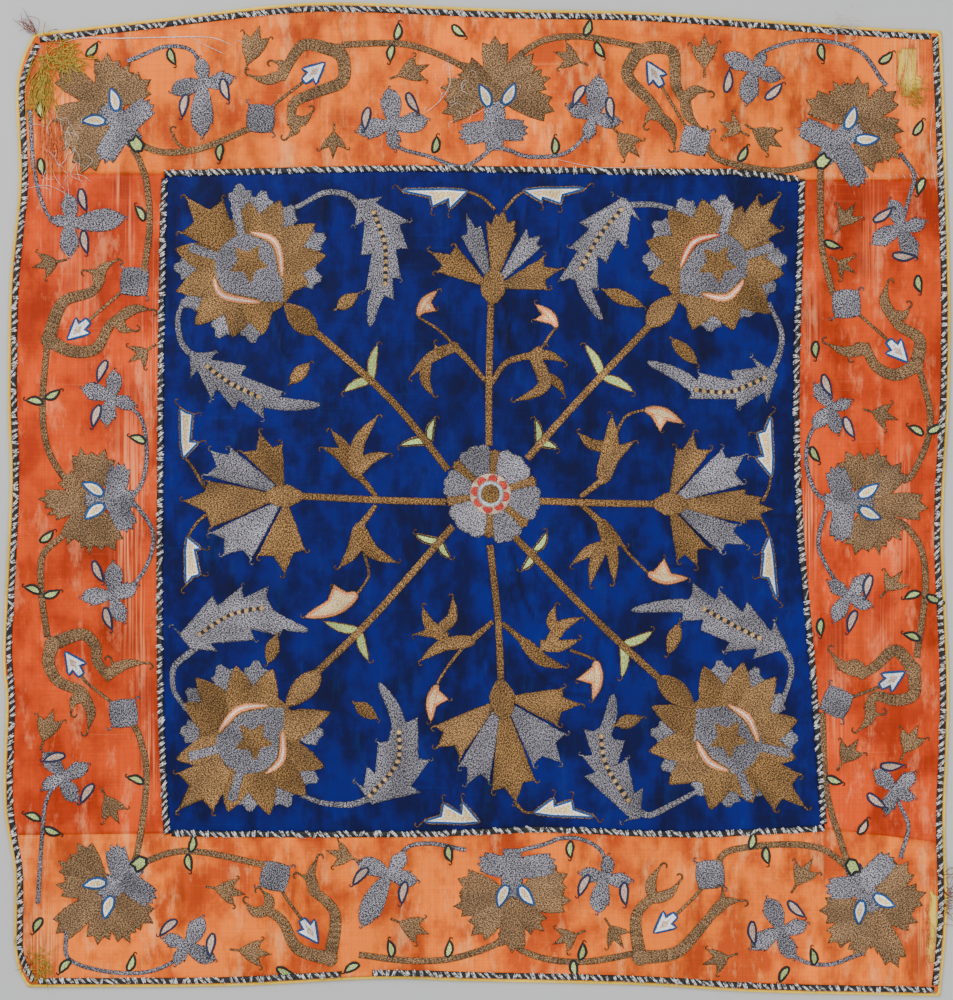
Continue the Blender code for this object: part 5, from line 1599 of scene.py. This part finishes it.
# Frayed and loose threads: piece, finish, slot, and tufts as middle, spread, heading, length, count, height,
# thickness, and where they differ turn and sway
LOOSE = (
    ("frayed_red_threads", "fringe_red", "red_silk", (
        ((944, 905), (2, 12), 0, 13, 26, 1.4, 0.3), ((944, 880), (2, 6), -10, 14, 12, 1.4, 0.3),
        ((36, 34), (2, 2), 225, 24, 16, 1.8, 0.3, 14), ((30, 958), (3, 6), 150, 10, 14, 1.6, 0.3),
    )),
    ("frayed_yellow_fibres", "tuft_yellow", "lining", (
        ((58, 56), (10, 7), 20, 20, 80, 2.8, 0.6, 50), ((44, 75), (5, 12), 95, 34, 60, 2.8, 0.5, 14),
        ((38, 960), (6, 8), 60, 16, 40, 2.6, 0.35, 60), ((910, 90), (6, 6), 30, 14, 40, 2.4, 0.35, 50),
    )),
    ("worn_warp_threads", "orange_thread", "orange_silk", (
        ((905, 60), (6, 12), 90, 34, 16, 1.6, 0.35, 7, 1.5),
        ((928, 925), (3, 16), 90, 24, 24, 1.6, 0.35, 7, 1.5),
        ((50, 130), (8, 14), 90, 30, 60, 2.6, 0.32, 9, 2.0),
    )),
    ("loose_white_threads", "white_thread", "silver", (
        ((842, 28), (10, 6), 60, 22, 14, 2.8, 0.28, 60), ((450, 96), (14, 14), 40, 16, 18, 3.2, 0.26, 80),
        ((60, 150), (14, 30), 80, 22, 30, 3.0, 0.28, 30),
    )),
)

# Single white threads as route with heights, and thickness, and the stitches along the top right seam
WHITE_THREADS = (
    (((58, 46, 3.0), (80, 39, 3.0), (120, 39, 3.0), (160, 38, 3.0), (210, 38, 3.0), (232, 46, 3.2)), 0.75),
    (((186, 36, 3.4), (210, 48, 3.6), (226, 55, 3.4)), 0.35),
    (((236, 40, 3.2), (246, 46, 3.2), (248, 60, 3.2)), 0.35),
    (((50, 110, 3.4), (62, 122, 3.4), (78, 124, 3.4)), 0.3),
    (((24, 190, 3.2), (48, 186, 3.4), (70, 196, 3.4)), 0.3),
    (((430, 110, 3.4), (441, 100, 3.4), (450, 84, 3.4), (448, 60, 3.4)), 0.4),
    (((558, 160, 3.2), (600, 168, 3.2), (660, 166, 3.2)), 0.35),
    (((836, 10, 1.2), (842, 30, 3.0), (850, 44, 3.2)), 0.3),
    (((936, 190, 3.0), (930, 140, 3.2), (934, 100, 3.2)), 0.3),
    (((68, 180, 3.2), (70, 200, 3.4), (72, 215, 3.4)), 0.3),
)
SEAM_STITCHES = [(((x, 174, 2.6), (x + 3, 179, 2.9)), 0.4) for x in range(818, 941, 7)]


# Settings

def length(name, description, default):
    return bpy.props.FloatProperty(
        name=name, description=description, default=default, unit="LENGTH", subtype="DISTANCE",
    )


class WrappingSizes(bpy.types.PropertyGroup):
    silk_cell: length("Silk cell", "Spacing of the silk's mesh", 0.0038)
    silk_thick: length("Silk thickness", "Thickness of the blue and the orange silk", 0.0005)
    lining_thick: length("Lining thickness", "Thickness of the yellow lining", 0.0006)
    thread_pile: length("Thread pile", "How high couched thread rises between its rims", 0.00085)
    eye_pile: length("Eye pile", "How high the blossoms' eyes rise over the petals", 0.0008)
    cord_width: length("Cord width", "Width of the black and silver cord", 0.007)
    cord_height: length("Cord height", "Height of the black and silver cord", 0.0024)
    cord_pitch: length("Cord pitch", "Distance from one silver bundle to the next", 0.0066)


# Colours of the finishes: what each is for, its colour, and where it varies its darkest and lightest

# A silk's darkest is also the base of its painted fold and crease shade, its lightest of its painted shine; a
# metal thread's lightest gives the painted glints of its turns, its darkest the painted shade between them
# and at its rims
COLOURS = {
    "blue_silk": ("Centre panel", (0.0003, 0.0043, 0.122), (0.0002, 0.0010, 0.027), (0.005, 0.036, 0.250)),
    "orange_silk": ("Top and bottom strips", (1.00, 0.200, 0.011), (0.48, 0.049, 0.003), (1.00, 0.44, 0.15)),
    "red_silk": ("Left and right strips", (0.69, 0.067, 0.003), (0.35, 0.020, 0.001), (0.98, 0.33, 0.13)),
    "lining_silk": ("Lining", (0.86, 0.58, 0.05), (0.50, 0.30, 0.02), (0.80, 0.66, 0.25)),
    "gold": ("Gold thread of the centre", (0.150, 0.070, 0.019), (0.038, 0.013, 0.002), (0.33, 0.185, 0.062)),
    "dull_gold": ("Border's gold thread", (0.165, 0.082, 0.031), (0.045, 0.019, 0.006), (0.31, 0.185, 0.083)),
    "silver": ("Silver thread", (0.098, 0.090, 0.113), (0.018, 0.016, 0.026), (0.285, 0.270, 0.285)),
    "pale_gold": ("Gold of the midribs' beads", (0.55, 0.32, 0.12)),
    "cream": ("Hearts of the arrow leaves", (0.82, 0.52, 0.25)),
    "white": ("Rims of the arrow leaves and the eyes", (0.86, 0.85, 0.82)),
    "pink": ("Middle line of the crescents", (0.88, 0.62, 0.50)),
    "sky_white": ("Ring of the rosette", (0.42, 0.49, 0.55)),
    "sky_blue": ("Outline of arrow leaves and eyes", (0.003, 0.055, 0.190)),
    "navy": ("Outline of the drops", (0.010, 0.018, 0.060)),
    "green": ("Small leaves", (0.40, 0.50, 0.15)),
    "black": ("Outline of small leaves and dark beads", (0.010, 0.010, 0.012)),
    "coral": ("Buds and crescents", (0.80, 0.24, 0.09)),
    "rose": ("Scallops of the rosette and a crescent's rim", (0.50, 0.030, 0.018)),
    "peach": ("Hearts of the drops", (0.52, 0.35, 0.25)),
    "cord_black": ("Core of the cord", (0.012, 0.012, 0.014)),
    "cord_silver": ("Bundles of the cord", (0.50, 0.48, 0.44)),
    "fringe_red": ("Frayed threads at the corners", (0.22, 0.035, 0.012)),
    "tuft_yellow": ("Frayed lining fibres", (0.44, 0.30, 0.035)),
    "white_thread": ("Loose white threads", (0.72, 0.62, 0.54)),
    "orange_thread": ("Loose warp of the strips", (0.72, 0.17, 0.05)),
    "floor": ("Colour of the floor", (0.50, 0.50, 0.49)),
}


def colour_settings():
    """The settings of the table's colours, by name."""
    settings = {}
    for key, (use, *colours) in COLOURS.items():
        for ending, default in zip(("", "_dark", "_light"), colours):
            settings[key + ending] = bpy.props.FloatVectorProperty(
                name=(key + ending).replace("_", " ").capitalize(), description=use, default=default,
                subtype="COLOR", size=3, min=0.0, max=1.0,
            )
    return settings


class WrappingColours(bpy.types.PropertyGroup):
    __annotations__ = colour_settings()


# Operators

def strip_sides():
    """The four sides of each border strip, corner to corner."""
    top, right, bottom, left = inset_sides(smooth_sides(EDGES), STRIP_INSET)
    seam_top, seam_right, seam_bottom, seam_left = smooth_sides(SEAMS)

    def cut(side, y):
        """A side that runs down or up, cut in two at a level: the part before and the part after."""
        fine = even(side, 600)
        i = int(np.argmin(np.abs(fine[:, 1] - y)))
        return fine[:i + 1], fine[i:]

    def joined(start, end, between=None):
        """A side from the last point of one to the first of another, along what lies between."""
        return np.vstack([start[-1:], *([] if between is None else [between[::-1]]), end[:1]])

    right_top, right_rest = cut(right, seam_top[-1][1])
    right_middle, right_low = cut(right_rest, seam_bottom[0][1] + 15)
    left_low, left_rest = cut(left, seam_bottom[-1][1] + 1)
    left_middle, left_top = cut(left_rest, seam_top[0][1])
    return {
        "top": (top, right_top, joined(right_top, left_top, seam_top), left_top),
        "right": (joined(seam_top, right_middle), right_middle, joined(right_middle, seam_bottom),
                  seam_right[::-1]),
        "bottom": (joined(left_low, right_low, seam_bottom), right_low, bottom, left_low),
        "left": (joined(left_middle, seam_top), seam_left[::-1], joined(seam_bottom, left_middle),
                 left_middle),
    }


class WRAPPING_OT_lining(bpy.types.Operator):
    """Yellow silk lining, which shows as a narrow edge and through the worn holes"""
    bl_idname = "wrapping.lining"
    bl_label = "Lining"

    def execute(self, context):
        sides = smooth_sides(EDGES)
        thick = context.scene.wrapping_sizes.lining_thick / MM
        silk_sheet("lining_cloth", sides, LINING_CELL, thick, "lining_silk", "lining")
        inset, radius, level = ROLL
        rolled = np.vstack([side[:-1] for side in inset_sides(sides, inset)])
        route = np.vstack([rolled, rolled[:1]])
        edge_roll("lining_rolled_edge", route, radius, level, "lining_silk")
        return {"FINISHED"}


class WRAPPING_OT_centre(bpy.types.Operator):
    """Deep blue silk panel of the centre"""
    bl_idname = "wrapping.centre"
    bl_label = "Centre panel"

    def execute(self, context):
        sizes = context.scene.wrapping_sizes
        cell, thick = sizes.silk_cell / MM * CENTRE_SHARE, sizes.silk_thick / MM
        sides = smooth_sides(SEAMS)
        silk_sheet("centre_silk", sides, cell, thick, "blue_silk", "centre_panel", 0.5)
        return {"FINISHED"}


class WRAPPING_OT_borders(bpy.types.Operator):
    """Four orange silk strips, worn through in two places"""
    bl_idname = "wrapping.borders"
    bl_label = "Border strips"

    def execute(self, context):
        sizes = context.scene.wrapping_sizes
        cell, thick = sizes.silk_cell / MM, sizes.silk_thick / MM
        for name, sides in strip_sides().items():
            silk = "orange_silk" if name in ("top", "bottom") else "red_silk"
            holes = [WORN_HOLES[name]] if name in WORN_HOLES else []
            silk_sheet("strip_" + name, sides, cell, thick, silk, "border_" + name, 0.7, holes)
        return {"FINISHED"}


class WRAPPING_OT_cords(bpy.types.Operator):
    """Black and silver cords over the seams and near the edge"""
    bl_idname = "wrapping.cords"
    bl_label = "Cords"

    def execute(self, context):
        bundle = twist_bundle()
        rng = np.random.default_rng(11)
        for name, side in zip(SIDE_NAMES, SEAMS):
            cord_piece("inner_cord_" + name, side_span(smooth(side, EDGE_STEP), 0.0, 0.993), bundle, rng)
        for name, side in zip(SIDE_NAMES, inset_sides(LINING_SIDES, CORD_INSET)):
            runs = {name: side_span(side, 0.0, 0.995)}
            if name == "bottom":
                right = runs[name][:, 0]
                runs = {
                    "bottom_right": runs[name][right > CORD_MISSING[0]],
                    "bottom_left": runs[name][right < CORD_MISSING[1]],
                }
            for part, curve in runs.items():
                cord_piece("outer_cord_" + part, curve, bundle, rng)
        return {"FINISHED"}


class WRAPPING_OT_rosette(bpy.types.Operator):
    """Rosette of silver lobes and gold wedges in the middle"""
    bl_idname = "wrapping.rosette"
    bl_label = "Rosette"

    def execute(self, context):
        laid_thread("rosette_work", rosette_forms(), ["rosette"], 2.2)
        return {"FINISHED"}


class WRAPPING_OT_straight(bpy.types.Operator):
    """Four straight sprays with carnations, curled leaves, coral buds and arrow leaves"""
    bl_idname = "wrapping.straight"
    bl_label = "Straight sprays"

    def execute(self, context):
        for name, row in STRAIGHT.items():
            forms = []
            for leaf in row["arrows"]:
                forms += arrow_leaf_forms(*leaf)
            for branch in row["branches"]:
                forms += branch_forms(*branch)
            laid_thread("spray_work_" + name, forms + carnation_forms(row), ["spray_" + name])
        return {"FINISHED"}


class WRAPPING_OT_slanted(bpy.types.Operator):
    """Four slanted sprays with green leaves and large blossoms"""
    bl_idname = "wrapping.slanted"
    bl_label = "Slanted sprays"

    def execute(self, context):
        pile = context.scene.wrapping_sizes.eye_pile
        for name, row in BLOSSOMS.items():
            forms = []
            for foot, tips, dark in row["leaves"]:
                for tip, way in zip(tips, (1, -1) if name.endswith("west") else (-1, 1)):
                    forms += leaf_forms(foot, tip, "black" if dark else "gold", way)
            laid_thread("spray_work_" + name, forms + blossom_forms(row), ["spray_" + name])
            stands_for = ["blossom_eye_" + name]
            eye = laid_thread("eye_work_" + name, eye_forms(row), stands_for, 2.2, pile)
            raise_piece(eye, EYE_LIFT)
        return {"FINISHED"}


def raise_piece(obj, by):
    """Lifts a piece's mesh by millimetres, so that it lies over the work below it."""
    places = read(obj.data.vertices, "co", 3, np.float32)
    places[:, 2] += by * MM
    obj.data.vertices.foreach_set("co", places.ravel())
    obj.data.update()


class WRAPPING_OT_leaves(bpy.types.Operator):
    """Eight serrated silver leaves with beaded midribs, and eight small gold leaves"""
    bl_idname = "wrapping.leaves"
    bl_label = "Serrated leaves"

    def execute(self, context):
        for name, (*leaf, small) in SERRATED.items():
            forms = serrated_forms(*leaf) + small_leaf_forms(*small)
            laid_thread("leaf_work_" + name, forms, ["leaf_" + name])
        return {"FINISHED"}


class WRAPPING_OT_palmettes(bpy.types.Operator):
    """Eight gold and silver palmettes of the border with their vines and cloud bands"""
    bl_idname = "wrapping.palmettes"
    bl_label = "Palmettes"

    def execute(self, context):
        for name, row in PALMETTES.items():
            forms = []
            for route in row["vines"]:
                forms += stem_forms("dull_gold", vine_route(route, row["centre"]), VINE_WIDTH)
            for foot, tip in row.get("hooks", ()):
                hook = ribbon(bent(foot, tip, -3.0), 3.4, 2.4) + curl(tip, heading_of(foot, tip), 4.4, 1, 2.2)
                forms.append(Form("dull_gold", hook))
            for arrow in row.get("arrows", ()):
                forms += cloud_arrow_forms(*arrow)
            for band in row.get("bands", ()):
                forms += cloud_forms(*band)
            forms += palmette_forms(row) + carried_forms(row.get("small", ()), row.get("leaves", ()))
            laid_thread("palmette_work_" + name, forms, ["palmette_" + name])
        return {"FINISHED"}


class WRAPPING_OT_orchids(bpy.types.Operator):
    """Sixteen silver blossoms of the border on their stalks"""
    bl_idname = "wrapping.orchids"
    bl_label = "Silver blossoms"

    def execute(self, context):
        for name, (*blossom, small, leaves) in ORCHIDS.items():
            forms = orchid_forms(*blossom) + carried_forms(small, leaves)
            laid_thread("orchid_work_" + name, forms, ["orchid_" + name])
        return {"FINISHED"}


class WRAPPING_OT_loose(bpy.types.Operator):
    """Frayed and loose threads at the corners, the worn holes and along the top"""
    bl_idname = "wrapping.loose"
    bl_label = "Loose threads"

    def execute(self, context):
        rng = np.random.default_rng(5)
        for name, look, slot, tufts in LOOSE:
            rows = [*WHITE_THREADS, *SEAM_STITCHES] if look == "white_thread" else []
            for row in tufts:
                rows += tuft(rng, *row)
            strands_piece(name, rows, look)
        return {"FINISHED"}


# The floor's size and level, and the lights: power, size and place, each turned to the middle of the cloth
FLOOR_SIZE = 9.0
FLOOR_LEVEL = -0.0006
LIGHTS = {
    "key_light": (98.0, 2.2, (-1.5, 1.7, 2.3)), "fill_light": (33.0, 2.6, (1.9, -0.6, 2.2)),
    "low_light": (13.0, 1.6, (0.4, -2.0, 1.2)),
}
ROOM_LIGHT = ((0.92, 0.94, 1.0, 1.0), 0.70)

# The camera: middle of the frame in setting-out millimetres, height in metres, lens and sensor in millimetres
CAMERA_MIDDLE = (476.5, 500.0)
CAMERA_HEIGHT = 2.5
CAMERA_LENS = 90.0
CAMERA_SENSOR = 36.0


class WRAPPING_OT_stage(bpy.types.Operator):
    """Pale floor, soft lights and a camera straight above"""
    bl_idname = "wrapping.stage"
    bl_label = "Stage"

    def execute(self, context):
        bpy.ops.object.select_all(action="DESELECT")
        bpy.ops.mesh.primitive_plane_add(size=FLOOR_SIZE, location=(0, 0, FLOOR_LEVEL))
        floor = bpy.context.object
        floor.name = "floor"
        bpy.ops.object.transform_apply(location=True, rotation=False, scale=False)
        made, tree, shader, place = new_material("floor", 0.9, 0.0, 0.15)
        grey = tuple(context.scene.wrapping_colours.floor)
        cloud = noise(tree, place, (1.0, 1.0), 2.0)
        tint = ramp(tree, cloud, ((0.3, shade(grey, 0.97)), (0.7, shade(grey, 1.03))))
        tree.links.new(tint, shader.inputs["Base Color"])
        floor.data.materials.append(made)
        for name, (energy, size, place) in LIGHTS.items():
            light = bpy.data.lights.new(name, "AREA")
            light.energy, light.size = energy, size
            lamp = bpy.data.objects.new(name, light)
            bpy.context.collection.objects.link(lamp)
            lamp.location = place
            way = -np.array(place)
            tilt = math.acos(-way[2] / np.linalg.norm(way))
            lamp.rotation_euler = (tilt, 0.0, math.atan2(way[1], way[0]) - math.pi / 2)
        world = context.scene.world or bpy.data.worlds.new("soft_room")
        context.scene.world = world
        world.use_nodes = True
        for socket, value in zip(world.node_tree.nodes["Background"].inputs, ROOM_LIGHT):
            socket.default_value = value
        lens = bpy.data.cameras.new("camera")
        lens.sensor_fit, lens.lens = "VERTICAL", CAMERA_LENS
        lens.sensor_width = lens.sensor_height = CAMERA_SENSOR
        camera = bpy.data.objects.new("camera", lens)
        bpy.context.collection.objects.link(camera)
        camera.location = placed(*CAMERA_MIDDLE, CAMERA_HEIGHT / MM)
        context.scene.camera = camera
        return {"FINISHED"}


class WRAPPING_PT_panel(bpy.types.Panel):
    """Lists the cloth's layers"""
    bl_label = "Wrapping cloth"
    bl_idname = "WRAPPING_PT_panel"
    bl_space_type = "VIEW_3D"
    bl_region_type = "UI"
    bl_category = "Wrapping cloth"

    def draw(self, context):
        for group in (context.scene.wrapping_sizes, context.scene.wrapping_colours):
            column = self.layout.column(align=True)
            for key in group.bl_rna.properties.keys():
                if key not in ("rna_type", "name"):
                    column.prop(group, key)
        for operator in OPERATORS:
            self.layout.operator(operator.bl_idname)


OPERATORS = (
    WRAPPING_OT_lining, WRAPPING_OT_centre, WRAPPING_OT_borders, WRAPPING_OT_cords, WRAPPING_OT_rosette,
    WRAPPING_OT_straight, WRAPPING_OT_slanted, WRAPPING_OT_leaves, WRAPPING_OT_palmettes, WRAPPING_OT_orchids,
    WRAPPING_OT_loose, WRAPPING_OT_stage,
)
CLASSES = (WrappingSizes, WrappingColours, *OPERATORS, WRAPPING_PT_panel)


def register():
    for each in CLASSES:
        bpy.utils.register_class(each)
    bpy.types.Scene.wrapping_sizes = bpy.props.PointerProperty(type=WrappingSizes)
    bpy.types.Scene.wrapping_colours = bpy.props.PointerProperty(type=WrappingColours)


def unregister():
    del bpy.types.Scene.wrapping_colours
    del bpy.types.Scene.wrapping_sizes
    for each in reversed(CLASSES):
        bpy.utils.unregister_class(each)


def main():
    register()
    for operator in OPERATORS:
        group, name = operator.bl_idname.split(".")
        if getattr(getattr(bpy.ops, group), name)() != {"FINISHED"}:
            raise RuntimeError(operator.bl_label + " wasn't finished")


if __name__ == "__main__":
    main()
